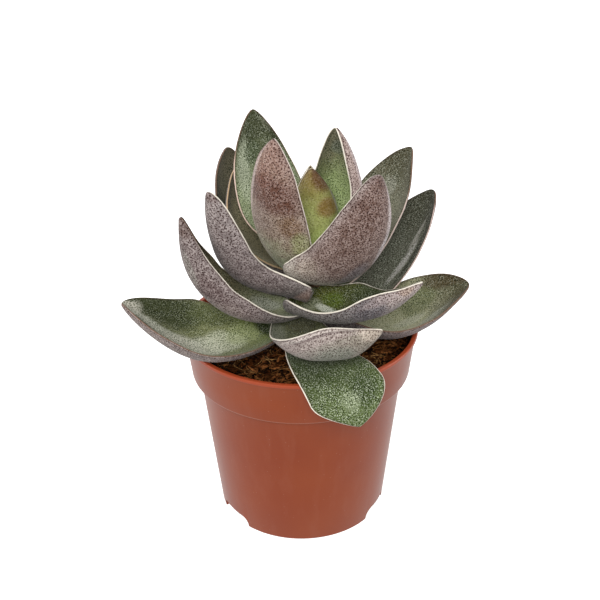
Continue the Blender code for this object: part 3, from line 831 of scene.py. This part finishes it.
LEAVES = [
    # The lowest ring lies over the rim.
    Leaf("leaf_01", 266, 73.4, 286, 52.6, 63.8, 4, -72, 27, 4, toward=(246, 305), start=6.3,
         pull=(0.32, 0.48), base=0.28, lobe=1.0, widest=0.78, blunt=0.75, cup_base=6, thick=2.3),
    Leaf("leaf_02", 98, 73.8, 98, 50.0, 80.0, 12, -20, 31, 20, base=0.4, blunt=0.85, cup_base=20),
    Leaf("leaf_03", 199.8, 78.0, 195.4, 67.2, 93.5, -6.4, 41.9, 34.6, 54.5, toward=(222.4, 168.0),
         start=6.8, pull=(0.46, 0.49), base=0.2, ear=0.3, lobe=1.19, widest=0.65, blunt=0.63,
         cup_base=44.9, roll=(-7.0, -14.2), thick=2.8),
    Leaf("leaf_04", -6.8, 77.2, -3.4, 55.0, 91.4, -15.5, 33.2, 34.9, 45.4, toward=(-11.5, -12.2),
         start=6.9, pull=(0.56, 0.44), base=0.37, ear=0.2, lobe=1.03, widest=0.42, blunt=0.66,
         cup_base=43.7, roll=(-13.3, 27.2)),
    # The second ring is cupped and leans outward.
    Leaf("leaf_05", 252, 81.5, 297.6, 46.7, 95.0, -3, 37, 30.8, 54, toward=(263.5, 369), start=6.3,
         pull=(0.62, 0.53), base=0.28, ear=0.55, lobe=1.3, widest=0.54, blunt=0.85, cup_base=8,
         roll=(5.7, -11.4), thick=2.3),
    Leaf("leaf_06", 100, 79.3, 100, 43.0, 98.0, 6, 60, 26, 45, base=0.35, blunt=0.85),
    Leaf("leaf_07", 212.8, 84.0, 207.8, 47.9, 126.5, 2.6, 92.6, 27.8, 79.7, toward=(225.6, 182.0),
         start=6.3, pull=(0.39, 0.56), base=0.2, ear=-0.04, lobe=0.5, widest=0.61, blunt=0.65,
         cup_base=26.5, roll=(-3.7, -13.1), thick=2.5),
    Leaf("leaf_08", 21.2, 81.4, 29.2, 51.1, 115.2, 16.0, 66.5, 26.0, 28.4, toward=(24.9, 14.6), start=6.9,
         pull=(0.34, 0.21), base=0.36, ear=-0.05, lobe=0.95, widest=0.33, blunt=0.55, cup_base=37.2,
         roll=(42, -9.7)),
    Leaf("leaf_09", 262, 90.0, 330, 41.8, 101.6, -14, 48, 29, 55, toward=(310, 372), start=8.2,
         pull=(0.47, 0.37), base=0.42, ear=0.79, lobe=1.4, widest=0.45, blunt=0.8, cup_base=65,
         roll=(10.5, 0), thick=2.6),
    Leaf("leaf_10", 91, 84.5, 90, 38.0, 102.0, 6, 65, 19, 38, base=0.3, blunt=0.85, cup_base=15),
    # The third ring stands up.
    Leaf("leaf_11", 150.8, 89.6, 134.7, 42.6, 130.4, -4.5, 116.6, 29.1, 33.0, toward=(136, 116.1),
         start=6.4, pull=(0.34, 0.41), base=0.3, ear=0.18, lobe=1.22, widest=0.3, blunt=0.61,
         cup_base=33.4, roll=(1.0, 0.5)),
    Leaf("leaf_12", 137.7, 93.9, 134.8, 37.8, 124.2, 17.0, 89.2, 26.6, 51.9, toward=(164, 143.4),
         start=6.7, pull=(0.46, 0.42), base=0.2, ear=0.19, lobe=0.92, widest=0.3, blunt=0.63,
         cup_base=6.6, roll=(22.8, -13.4)),
    Leaf("leaf_13", 244.4, 94.0, 218.0, 41.5, 136.6, 3.7, 80.7, 20.3, 55.2, toward=(194.2, 151.4),
         start=9.5, pull=(0.46, 0.41), base=0.91, ear=-1.0, lobe=0.73, widest=0.54, blunt=0.54,
         cup_base=30.1, roll=(-0.8, 0.9), thick=2.7),
    Leaf("leaf_14", 33.6, 90.9, 34.9, 43.6, 131.9, 24.7, 66.4, 27.7, 29.1, toward=(24.9, 7.4), start=6.1,
         pull=(0.29, 0.44), base=0.66, ear=-0.27, lobe=0.77, widest=0.65, blunt=0.74, cup_base=26.7,
         roll=(8.4, -4.1)),
    Leaf("leaf_15", 288.1, 100.0, 322.5, 26.5, 137.8, -27.2, 116.7, 35.0, 57.4, toward=(303.4, 285.6),
         start=7.0, pull=(0.3, 0.52), base=0.87, ear=0.32, lobe=0.5, widest=0.45, blunt=0.5,
         cup_base=43.7, roll=(-9.7, 0.6)),
    Leaf("leaf_16", 123.1, 99.4, 125.2, 35.3, 145.3, 7.0, 81.7, 28.2, 13.7, toward=(126, 118.4),
         start=5.0, pull=(0.26, 0.47), base=0.2, ear=0.18, lobe=1.1, widest=0.48, blunt=0.68,
         cup_base=30.6, roll=(13.1, -13.1)),
    # The crown closes over the growing point.
    Leaf("leaf_17", 206, 98.8, 237.0, 21.7, 151.2, 24.7, 113.0, 30.0, 45.6, toward=(215.1, 235.1),
         start=4.9, pull=(0.34, 0.2), base=0.2, ear=0.03, lobe=1.16, widest=0.35, blunt=0.9,
         cup_base=29.6, roll=(4.8, -4.6)),
    Leaf("leaf_18", 44, 101.1, 12, 8.0, 147.4, 38.2, 118.4, 34.0, 88.9, toward=(19.4, 45.6), start=4.8,
         pull=(0.36, 0.44), base=0.29, ear=-0.1, lobe=1.01, widest=0.3, blunt=0.65, cup_base=40,
         roll=(-9.3, 35), thick=2.7),
    Leaf("leaf_19", 300, 104.0, 268, 2.2, 135.0, 70, 95, 18.5, 55, start=3.5, blunt=0.8),
    Leaf("leaf_20", 120, 104.0, 100, 2.2, 134.3, 70, 95, 17, 55, start=3.5),
]


def direction(azimuth, slope):
    """Unit vector for a compass direction and a slope, both in degrees."""
    turn = np.radians(azimuth)
    rise = np.radians(slope)
    return np.array([np.cos(rise) * np.cos(turn), np.cos(rise) * np.sin(turn), np.sin(rise)])


def midrib(leaf, s):
    """Cubic curve from the stem to the tip: points and unit tangents at the shares s."""
    axis = np.array([STEM_X, STEM_Y, 0.0])
    up = np.array([0.0, 0.0, 1.0])
    leave_toward, arrive_toward = leaf.toward or (leaf.azimuth, leaf.tip_azimuth)
    first = axis + leaf.start * direction(leaf.azimuth, 0.0) + leaf.height * up
    last = axis + leaf.reach * direction(leaf.tip_azimuth, 0.0) + leaf.rise * up
    span = np.linalg.norm(last - first)
    second = first + leaf.pull[0] * span * direction(leave_toward, leaf.leave)
    third = last - leaf.pull[1] * span * direction(arrive_toward, leaf.arrive)
    s = s[:, None]
    r = 1.0 - s
    points = r**3 * first + 3 * r**2 * s * second + 3 * r * s**2 * third + s**3 * last
    tangents = r**2 * (second - first) + 2 * r * s * (third - second) + s**2 * (last - third)
    return points, tangents / np.linalg.norm(tangents, axis=1)[:, None]


def half_width(leaf, s):
    """Blade outline: widens from the base to its widest place, then narrows to a point."""
    low = np.sin(0.5 * np.pi * np.clip(s / leaf.widest, 0.0, 1.0)) ** leaf.lobe
    high = np.cos(0.5 * np.pi * np.clip((s - leaf.widest) / (1.0 - leaf.widest), 0.0, 1.0)) ** leaf.blunt
    share = np.where(s < leaf.widest, leaf.base + (1.0 - leaf.base) * low, high)
    return 0.5 * leaf.width * share


def ear_width(leaf, s):
    """Extra width of one side near the base, which fades out with a square law."""
    return 0.5 * leaf.width * leaf.ear * np.clip(1.0 - s / leaf.widest, 0.0, 1.0) ** 2


def cup_angle(leaf, s):
    """Half of the section's arc, in radians: it eases from the base's cup to the blade's own."""
    ease = np.clip(2.0 * s, 0.0, 1.0)
    ease = ease * ease * (3.0 - 2.0 * ease)
    return np.radians(leaf.cup_base + (leaf.cup - leaf.cup_base) * ease)


def blade_axes(leaf, s, along):
    """Unit vectors across and up at each ring: square to the midrib, then rolled about it."""
    turn = np.radians(leaf.azimuth + (leaf.tip_azimuth - leaf.azimuth) * s)
    side = np.stack([-np.sin(turn), np.cos(turn), np.zeros_like(turn)], axis=1)
    side -= np.sum(side * along, axis=1)[:, None] * along
    side /= np.linalg.norm(side, axis=1)[:, None]
    roll = leaf.roll[0] + (leaf.roll[1] - leaf.roll[0]) * s
    return turned_pair(side, np.cross(along, side), roll[:, None])


def blade_lanes(half, ear, travel):
    """Where each ring's points lie across the blade, and the width of the side that each is on.

    The lanes crowd at the margins, where the section is round, and are even in between. The ear
    widens one side, and the base's two corners are rounded off.
    """
    bend = np.clip(1.0 - travel / BASE_CORNER, 0.0, 1.0)[:, None]
    corner = np.minimum(BASE_CORNER, BASE_CORNER_SHARE * half[0]) * (1.0 - np.sqrt(1.0 - bend**2))
    ear = ear * (1.0 - EAR_TUCK * bend**2)
    left = half + np.maximum(-ear, 0.0) - corner
    right = half + np.maximum(ear, 0.0) - corner
    inset = np.array(EDGE_STEPS) * np.minimum(1.0, half / NARROW_HALF_WIDTH)
    lane = np.linspace(1.0, 0.0, INNER_LANES)[1:]
    reach = np.concatenate([
        left - inset,
        (left - inset[:, -1:]) * lane,
        -(right - inset[:, -1:]) * lane[-2::-1],
        inset[:, ::-1] - right,
    ], axis=1)
    return reach, np.where(reach > 0.0, left, right)


def blade_waves(s, v, half, seed):
    """Three slow waves along and across, which grow where the blade is free of its neighbours."""
    phase = np.random.default_rng(seed).uniform(0.0, 2.0 * np.pi, 3)
    free = np.clip((s - WAVE_START) / WAVE_GROWTH, 0.0, 1.0) * np.minimum(1.0, half / WAVY_HALF_WIDTH)
    wave = 0.22 * v * np.sin(9.0 * s + phase[0])
    wave = wave + 0.14 * np.sin(15.0 * s + 2.5 * v + phase[1])
    wave = wave + 0.10 * np.abs(v) ** 3 * np.sin(26.0 * s + 3.0 * v + phase[2])
    return wave * free


def blade_depth(leaf, s, v, travel, left_over):
    """Thickness: it falls from the midrib to the margin, grows at the stem and closes at the tip."""
    swell = np.clip(1.15 - 0.55 * s - 0.6 * s**6, 0.0, 1.2)
    belly = (leaf.thick - LEAF_MARGIN) * swell * (1.0 - np.abs(v) ** 2.2)
    flesh = FLESH_DEPTH * np.clip(1.0 - travel / FLESH_LENGTH, 0.0, 1.0) ** 2
    belly = belly + flesh * (1.0 - np.abs(v) ** 3)
    rest = np.clip(left_over / TIP_CLOSE, 0.0, 1.0)
    return (LEAF_MARGIN + belly) * np.sqrt(1.0 - (1.0 - rest) ** 2)


def margin_trim(depth, from_margin):
    """How far both faces draw in near the margin, so that it is rounded as half an ellipse."""
    curl = np.clip(1.0 - from_margin / EDGE_ROUND, 0.0, 1.0)
    trim = np.minimum(0.5 * LEAF_MARGIN, 0.5 * depth) * (1.0 - np.sqrt(np.maximum(1.0 - curl**2, 0.0)))
    return np.where(from_margin < 1e-6, 0.5 * depth, trim)


def there_and_back(upper, under):
    """Rings that run across on the upper face and back on the under face, sharing both ends."""
    return np.concatenate([upper, under[:, -2:0:-1]], axis=1)


def add_layer(mesh, name, values):
    """Three numbers for each point of both faces; the heel repeats the first ring's."""
    values = there_and_back(values, values)
    values = np.concatenate([np.repeat(values[:1], len(HEEL_STEPS), axis=0), values]).reshape(-1, 3)
    values = np.concatenate([values, values[:1], values[-1:]])
    layer = mesh.attributes.new(name, "FLOAT_VECTOR", "POINT")
    layer.data.foreach_set("vector", values.ravel())


def add_face_layer(mesh, ring_count, columns):
    """1 on the upper face, 0 on the under face, and 0.5 on the margins and poles."""
    ring = np.concatenate([np.ones(columns), np.zeros(columns - 2)])
    ring[0] = ring[columns - 1] = 0.5
    layer = mesh.attributes.new("upper", "FLOAT", "POINT")
    layer.data.foreach_set("value", np.concatenate([np.tile(ring, ring_count), [0.5, 0.5]]))


def leaf_shell(leaf, seed):
    """Rings along the midrib: each is the arc of the upper face and the swollen arc of the under face.

    The cup angle bends the arc upward. A few smaller rings behind the base close it as a blunt heel
    that points into the stem. Returns the mesh with three layers: place, the share along, the
    distance from the margin and the share across; skin, the distances along and across, as if the
    leaf were spread flat; and upper, which tells its two faces apart.
    """
    s = 1.0 - (1.0 - np.linspace(0.0, 1.0, SHELL_RINGS + 1)[:-1]) ** RING_CROWDING
    centre, along = midrib(leaf, s)
    across, upward = blade_axes(leaf, s, along)
    travel = np.concatenate([[0.0], np.cumsum(np.linalg.norm(np.diff(centre, axis=0), axis=1))])
    tip = midrib(leaf, np.array([1.0]))[0][0]
    left_over = travel[-1] + np.linalg.norm(tip - centre[-1]) - travel
    half = half_width(leaf, s)[:, None]
    ear = ear_width(leaf, s)[:, None]
    reach, side_width = blade_lanes(half, ear, travel)
    v = reach / side_width
    from_margin = side_width - np.abs(reach)

    radius = (half + 0.5 * np.abs(ear)) / cup_angle(leaf, s)[:, None]
    angle = (reach / radius)[..., None]
    radius = radius[..., None]
    lift = radius * (1.0 - np.cos(angle)) + blade_waves(s[:, None], v, half, seed)[..., None]
    upper = centre[:, None] + across[:, None] * (radius * np.sin(angle)) + upward[:, None] * lift
    facing = upward[:, None] * np.cos(angle) - across[:, None] * np.sin(angle)
    depth = blade_depth(leaf, s[:, None], v, travel[:, None], left_over[:, None])
    trim = margin_trim(depth, from_margin)
    top = upper - facing * trim[..., None]
    low = upper - facing * (depth - trim)[..., None]

    rings = there_and_back(top, low)
    hub = rings[:1].mean(axis=1, keepdims=True)
    inward = -along[0] - direction(leaf.azimuth, 0.0)
    inward /= np.linalg.norm(inward)
    heel = [hub + (rings[:1] - hub) * share + inward * back for back, share in HEEL_STEPS]
    rings = np.concatenate([*heel, rings], axis=0)
    end = tip - 0.3 * LEAF_MARGIN * upward[-1]
    mesh = shell(leaf.name, rings, hub[0, 0] + inward * HEEL_END, end)

    share = np.broadcast_to(s[:, None], reach.shape)
    run = np.broadcast_to(travel[:, None], reach.shape)
    add_layer(mesh, "place", np.stack([share, from_margin, v], axis=-1))
    add_layer(mesh, "skin", np.stack([run, reach, np.zeros_like(reach)], axis=-1))
    add_face_layer(mesh, len(rings), reach.shape[1])
    return mesh


@dataclass
class Finish:
    """A leaf's colours: each face from its base over its middle to its tip, its margin, and patches of its
    own colours and of painted sheen and highlights.
    """
    upper: tuple
    under: tuple
    margin: tuple
    pale: float = 0.5         # how strongly pale papillae show on the upper face
    dots: float = 1.0         # how strongly dark dots show on the under face
    glow: float = 0.4         # how pale the under face gets towards its margins
    edge: float = 1.0         # how wide the margin's pale line is
    worn: float = 1.0         # the share along from which the margin's line turns brown
    upper_spots: tuple = ()   # patches: share along and across, their half sizes, colour, strength
    under_spots: tuple = ()


GREEN_UPPER = ((104, 106, 70), (92, 98, 70), (92, 90, 66))
FRESH_UPPER = ((138, 151, 109), (134, 139, 106), (90, 90, 68))
MAUVE_UNDER = ((104, 96, 96), (136, 120, 117), (128, 114, 111))
PALE_UNDER = ((124, 122, 110), (174, 168, 158), (152, 144, 129))
YOUNG = ((196, 220, 116), (174, 176, 102), (116, 94, 44))
CREAM = (246, 238, 222)
PINK = (240, 224, 214)
BROWN = (120, 96, 80)
# Painted sheen: the pale grey that velvet shows where it catches light at a grazing angle.
PAINTED_SHEEN = (190, 192, 178)
# Many leaves' base colours are paler than their own: partly their own pale green, partly painted light
# that lifts the shade among the crowded leaf bases.
FINISHES = {
    "leaf_01": Finish(
        ((60, 70, 34), (58, 70, 32), (92, 106, 62)), PALE_UNDER, CREAM, pale=1.1, edge=1.3,
        upper_spots=(
            (0.82, 0.45, 0.12, 0.4, (56, 70, 34), 0.8), (0.58, -0.6, 0.1, 0.5, (58, 70, 34), 0.6),
            # The pale patch near the tip is a painted highlight.
            (0.86, -0.02, 0.08, 0.3, (158, 168, 136), 0.5))),
    "leaf_02": Finish(GREEN_UPPER, MAUVE_UNDER, BROWN),
    "leaf_03": Finish(
        ((98, 112, 50), (124, 128, 88), (98, 100, 76)),
        ((120, 108, 100), (156, 142, 136), (140, 124, 118)), (124, 98, 82), edge=0.6,
        upper_spots=(
            (0.8, -0.65, 0.26, 0.45, (56, 62, 34), 0.9), (0.48, -0.75, 0.22, 0.28, (84, 90, 54), 0.8),
            # The six near-white patches from the tip down the middle of the blade are painted sheen.
            (0.98, -0.1, 0.07, 0.7, (200, 196, 182), 0.9), (0.88, -0.02, 0.1, 0.2, (206, 206, 190), 0.8),
            (0.77, 0.08, 0.12, 0.22, (206, 206, 190), 0.75),
            (0.66, 0.2, 0.12, 0.36, (212, 210, 194), 0.85),
            (0.54, 0.12, 0.12, 0.38, (210, 210, 192), 0.8),
            (0.42, -0.04, 0.16, 0.4, (204, 206, 182), 0.7), (0.6, 0.86, 0.34, 0.08, (60, 58, 40), 0.7),
            (0.28, -0.2, 0.12, 0.4, (158, 166, 118), 0.6), (0.13, -0.3, 0.07, 0.8, (30, 40, 8), 0.9))),
    "leaf_04": Finish(
        # Its pale base is partly painted sheen over its own green, and its two pale patches are painted
        # sheen bands.
        ((180, 180, 148), (182, 182, 148), (88, 84, 62)), MAUVE_UNDER, BROWN, pale=0.6,
        upper_spots=(
            (0.5, -0.1, 0.16, 0.18, PAINTED_SHEEN, 0.4), (0.72, -0.5, 0.16, 0.18, PAINTED_SHEEN, 0.45),
            (0.88, 0.7, 0.18, 0.35, (80, 68, 46), 0.8), (0.62, 0.35, 0.18, 0.4, (96, 106, 62), 0.6))),
    "leaf_05": Finish(
        GREEN_UPPER, ((140, 134, 126), (178, 168, 160), (150, 141, 126)), CREAM, dots=0.8, glow=0.2,
        upper_spots=(
            (0.2, -0.85, 0.12, 0.35, (140, 142, 124), 0.6), (0.1, 0.0, 0.08, 0.6, (68, 62, 46), 0.6)),
        under_spots=(
            (0.62, -0.75, 0.3, 0.14, (178, 162, 156), 0.7),
            (0.76, -0.95, 0.28, 0.06, (222, 208, 200), 0.8),
            (0.74, -0.86, 0.26, 0.04, (112, 92, 90), 0.7), (0.68, -0.1, 0.16, 0.45, (138, 144, 130), 0.7),
            (0.97, -0.4, 0.08, 0.9, (212, 196, 178), 0.7), (0.46, -0.8, 0.1, 0.25, (190, 174, 168), 0.5))),
    "leaf_06": Finish(GREEN_UPPER, MAUVE_UNDER, BROWN),
    "leaf_07": Finish(
        # Its pale upper base is partly painted sheen, and the pale patch there is painted sheen.
        ((172, 178, 142), (126, 120, 92), (78, 70, 54)),
        ((104, 98, 98), (138, 122, 119), (126, 112, 109)), CREAM, worn=0.84,
        upper_spots=((0.18, -0.4, 0.12, 0.4, PAINTED_SHEEN, 0.7),),
        under_spots=(
            (0.98, 0.5, 0.05, 1.0, (86, 56, 44), 0.8), (0.66, 0.6, 0.14, 0.3, (100, 78, 76), 0.6),
            (0.5, 0.42, 0.1, 0.34, (160, 143, 136), 0.5), (0.8, 0.3, 0.1, 0.18, (158, 156, 146), 0.5))),
    "leaf_08": Finish(
        ((98, 98, 84), (96, 97, 84), (56, 54, 38)), ((104, 96, 96), (150, 132, 128), (140, 120, 116)),
        (206, 182, 174), pale=0.6, edge=0.8, worn=0.82,
        upper_spots=(
            # The two pale patches along the blade are a painted sheen streak.
            (0.46, -0.62, 0.16, 0.12, (184, 180, 176), 0.7),
            (0.66, -0.5, 0.14, 0.1, (170, 166, 158), 0.7), (0.56, -0.84, 0.28, 0.08, (40, 38, 30), 0.8))),
    "leaf_09": Finish(
        ((88, 92, 40), (50, 58, 30), (88, 90, 66)), ((108, 102, 98), (140, 134, 134), (188, 172, 166)),
        CREAM, edge=1.2,
        upper_spots=(
            # The two pale patches by the rim near the base are painted sheen.
            (0.07, -0.14, 0.06, 0.34, (188, 192, 168), 0.4),
            (0.16, -0.08, 0.09, 0.16, (216, 218, 204), 0.75), (0.16, 0.36, 0.1, 0.38, (82, 100, 28), 0.6)),
        under_spots=(
            (0.57, -0.6, 0.15, 0.4, (100, 96, 104), 0.7), (0.7, -0.8, 0.2, 0.16, (178, 160, 158), 0.5),
            (0.88, -0.78, 0.06, 0.3, (184, 150, 118), 0.5))),
    "leaf_10": Finish(GREEN_UPPER, MAUVE_UNDER, PINK),
    "leaf_11": Finish(
        ((22, 28, 10), (22, 28, 10), (106, 100, 80)), MAUVE_UNDER, BROWN, pale=0.15, edge=0.6),
    "leaf_12": Finish(
        ((156, 146, 112), (146, 138, 108), (110, 104, 84)), MAUVE_UNDER, (196, 168, 134), pale=0.2),
    "leaf_13": Finish(
        GREEN_UPPER, ((100, 92, 88), (136, 122, 120), (144, 132, 129)), CREAM, edge=1.5,
        under_spots=(
            (0.99, 0.3, 0.04, 1.0, (84, 50, 44), 0.7), (0.03, 0.5, 0.05, 0.5, (148, 116, 102), 0.7),
            (0.34, 0.75, 0.18, 0.35, (112, 98, 96), 0.4))),
    "leaf_14": Finish(
        ((104, 110, 84), (138, 136, 116), (74, 70, 50)), MAUVE_UNDER, (216, 196, 186), pale=0.7, edge=0.8,
        worn=0.7,
        upper_spots=(
            # The first, pale patch is painted sheen.
            (0.76, 0.1, 0.07, 0.3, (176, 176, 164), 0.35), (0.9, -0.95, 0.12, 0.25, (70, 66, 42), 0.8),
            (0.84, 0.0, 0.04, 0.5, (86, 84, 64), 0.5))),
    "leaf_15": Finish(
        FRESH_UPPER, ((210, 200, 186), (138, 114, 105), (118, 92, 83)), CREAM, dots=1.2, glow=0.6,
        edge=1.2,
        under_spots=(
            (0.38, 0.05, 0.16, 0.22, (112, 108, 116), 0.6),
            (0.26, -0.72, 0.12, 0.22, (178, 162, 146), 0.5), (0.98, -0.4, 0.03, 0.8, (92, 60, 52), 0.6),
            # These two near-white patches are painted sheen where the blade curves away.
            (0.78, 0.5, 0.2, 0.24, (230, 218, 217), 0.8), (0.57, 0.42, 0.12, 0.16, (220, 210, 212), 0.8),
            (0.7, -0.42, 0.22, 0.35, (104, 74, 62), 0.5))),
    "leaf_16": Finish(
        ((164, 170, 122), (146, 156, 120), (66, 70, 46)), MAUVE_UNDER, (226, 198, 184), pale=0.7,
        edge=1.2, worn=0.74,
        upper_spots=(
            (0.72, 0.66, 0.18, 0.26, (190, 196, 174), 0.4), (0.88, -0.85, 0.08, 0.2, (44, 50, 26), 0.8),
            (0.8, 0.25, 0.07, 0.35, (72, 82, 56), 0.7), (0.89, 0.3, 0.05, 0.3, (60, 66, 42), 0.6),
            (0.93, -0.75, 0.05, 0.25, (112, 112, 92), 0.5))),
    "leaf_17": Finish(
        FRESH_UPPER, ((190, 204, 160), (160, 138, 120), (146, 112, 98)), (250, 236, 228), dots=0.9,
        glow=0.3,
        under_spots=(
            (0.65, 0.2, 0.12, 1.0, (104, 62, 48), 0.85), (0.74, -0.1, 0.08, 0.4, (138, 96, 82), 0.4),
            (0.49, 0.62, 0.07, 0.3, (128, 94, 62), 0.7), (0.5, -0.1, 0.09, 0.4, (156, 134, 124), 0.5),
            # The last patch, a long near-white band down the left side, is painted sheen where the blade
            # curves away.
            (0.36, 0.85, 0.1, 0.3, (150, 158, 96), 0.7), (0.6, -0.58, 0.4, 0.14, (228, 208, 200), 0.7))),
    "leaf_18": Finish(
        ((164, 188, 112), (168, 184, 126), (130, 124, 100)),
        ((190, 178, 170), (184, 160, 154), (168, 144, 134)), CREAM,
        upper_spots=(
            (0.86, 0.2, 0.06, 0.4, (124, 134, 124), 0.5), (0.7, 0.7, 0.1, 0.3, (112, 118, 74), 0.5)),
        # The near-white band on the under face is painted sheen where the blade curves away.
        under_spots=((0.75, -0.55, 0.25, 0.14, (216, 200, 200), 0.7),)),
    "leaf_19": Finish(
        YOUNG, ((212, 240, 132), (184, 190, 114), (142, 120, 62)), CREAM, pale=0.2, dots=0.4, glow=0.1,
        edge=0.7,
        under_spots=(
            (0.9, 0.55, 0.17, 0.65, (104, 66, 36), 0.8), (0.56, 0.4, 0.13, 0.5, (140, 94, 40), 0.75),
            (0.58, 0.86, 0.18, 0.14, (190, 186, 172), 0.8))),
    "leaf_20": Finish(YOUNG, YOUNG, CREAM, pale=0.2, dots=0.35, glow=0.1),
}
DOT_SCALE = 1.4
PIT_SCALE = 1.5
PAPILLA_SCALE = 2.0
DOT_TINT = (0.14, 0.07, 0.06, 1.0)
PIT_TINT = (0.10, 0.14, 0.05, 1.0)
NET_LIGHT = (0.22, 0.2, 0.19, 1.0)
CRUMB_LIGHT = (0.40, 0.42, 0.35, 1.0)
MARGIN_GREY = (176, 166, 164)
LINE_BROWN = (58, 40, 32)


def graded(drift, stops):
    """Three colours in turn from the base, over the middle, to the tip."""
    first, middle, last = [paint(*colour) for colour in stops]
    lower = drift.step(0.04, 0.45).choose(first, middle)
    return drift.step(0.5, 0.95).choose(lower, last)


def patched(colour, spots, along, across, cloud):
    """Soft oval patches of other colours, with an edge that the clouds break up: some are the leaf's own
    colours, some are painted sheen and highlights.
    """
    for place, side, length, width, tint, strength in spots:
        far = (along - place) / length
        wide = (across - side) / width
        reach = far * far + wide * wide + (cloud - 0.5) * 0.9
        colour = (reach.step(1.25, 0.25) * strength).choose(colour, paint(*tint))
    return colour


def upper_colour(finish, drift, cloud, mottle, layers):
    """The upper face: close pale papillae with dark pits between them. Returns colour and pits."""
    along, across, skin = layers
    crumbs = skin.grains(PAPILLA_SCALE, 0.25).step(0.52, 0.28) * (0.35 + mottle.step(0.35, 0.62) * 0.65)
    pits = skin.grains(PIT_SCALE, 0.22).step(0.5, 0.34) * (0.5 + mottle.step(0.35, 0.65) * 0.5)
    colour = patched(graded(drift, finish.upper), finish.upper_spots, along, across, cloud)
    colour = (crumbs * finish.pale).choose(colour, colour.lit(CRUMB_LIGHT))
    return (pits * (1.0 - crumbs * 0.3)).stain(colour, PIT_TINT), pits


def under_colour(finish, drift, cloud, mottle, grain, margin, layers):
    """The under face: dark dots on a fine pale net, paler and greyer towards the margin."""
    along, across, skin = layers
    dots = skin.grains(DOT_SCALE, 0.2).step(0.44, 0.26) * (0.6 + along.step(0.02, 0.35) * 0.4)
    net = grain.step(0.4, 0.62) * mottle.step(0.25, 0.6) * min(finish.dots, 1.0)
    colour = patched(graded(drift, finish.under), finish.under_spots, along, across, cloud)
    colour = (margin.step(4.0, 0.4) * finish.glow * 0.5).choose(colour, paint(*MARGIN_GREY))
    colour = net.choose(colour.shaded(0.8 + net * 0.2), colour.lit(NET_LIGHT))
    return (dots * finish.dots).stain(colour, DOT_TINT)


def leaf_skin(name, finish):
    """Velvety skin: its two faces, a pale or brown rim on the margin and a dark line inside that."""
    material, shader, start = new_material(
        name, IOR=1.4, Specular_IOR_Level=0.16, Sheen_Weight=0.12, Sheen_Roughness=0.35)
    body = start.own_place()
    cloud = body.noise(110.0, 3.0, 0.6)
    mottle = body.noise(380.0, 2.0, 0.6)
    grain = body.noise(2000.0, 2.0, 0.7)
    place = start.layer("place")
    along, margin, across = place.part(0), place.part(1), place.part(2)
    layers = along, across, start.layer("skin")
    drift = along + (cloud - 0.5) * 0.35
    top, pits = upper_colour(finish, drift, cloud, mottle, layers)
    low = under_colour(finish, drift, cloud, mottle, grain, margin, layers)
    colour = start.layer("upper", "Fac").step(0.3, 0.7).choose(low, top)

    grown = along.step(0.01, 0.08)
    ragged = margin + (mottle - 0.5) * 0.35
    line = ragged.step(0.2, 0.4) * ragged.step(0.85, 0.5) * grown
    colour = (line * 0.5).choose(colour, paint(*LINE_BROWN))
    rim = ragged.step(0.26 * finish.edge, 0.1 * finish.edge) * grown
    worn = along.step(finish.worn, finish.worn + 0.1)
    colour = rim.choose(colour, worn.choose(paint(*finish.margin), paint(*BROWN)))
    relief = grain + pits * -0.6 + cloud * 1.2
    rough = 0.5 + grain * 0.2
    connect(shader, Base_Color=colour, Roughness=rough, Normal=start.bump(relief, 0.5, 0.25))
    return material


for number, leaf in enumerate(LEAVES, start=1):
    blade = leaf_shell(leaf, number)
    skin = leaf_skin(f"skin_{number:02d}", FINISHES[leaf.name])
    add_piece(f"blade_{number:02d}", blade, skin, "leaf", leaf.name)
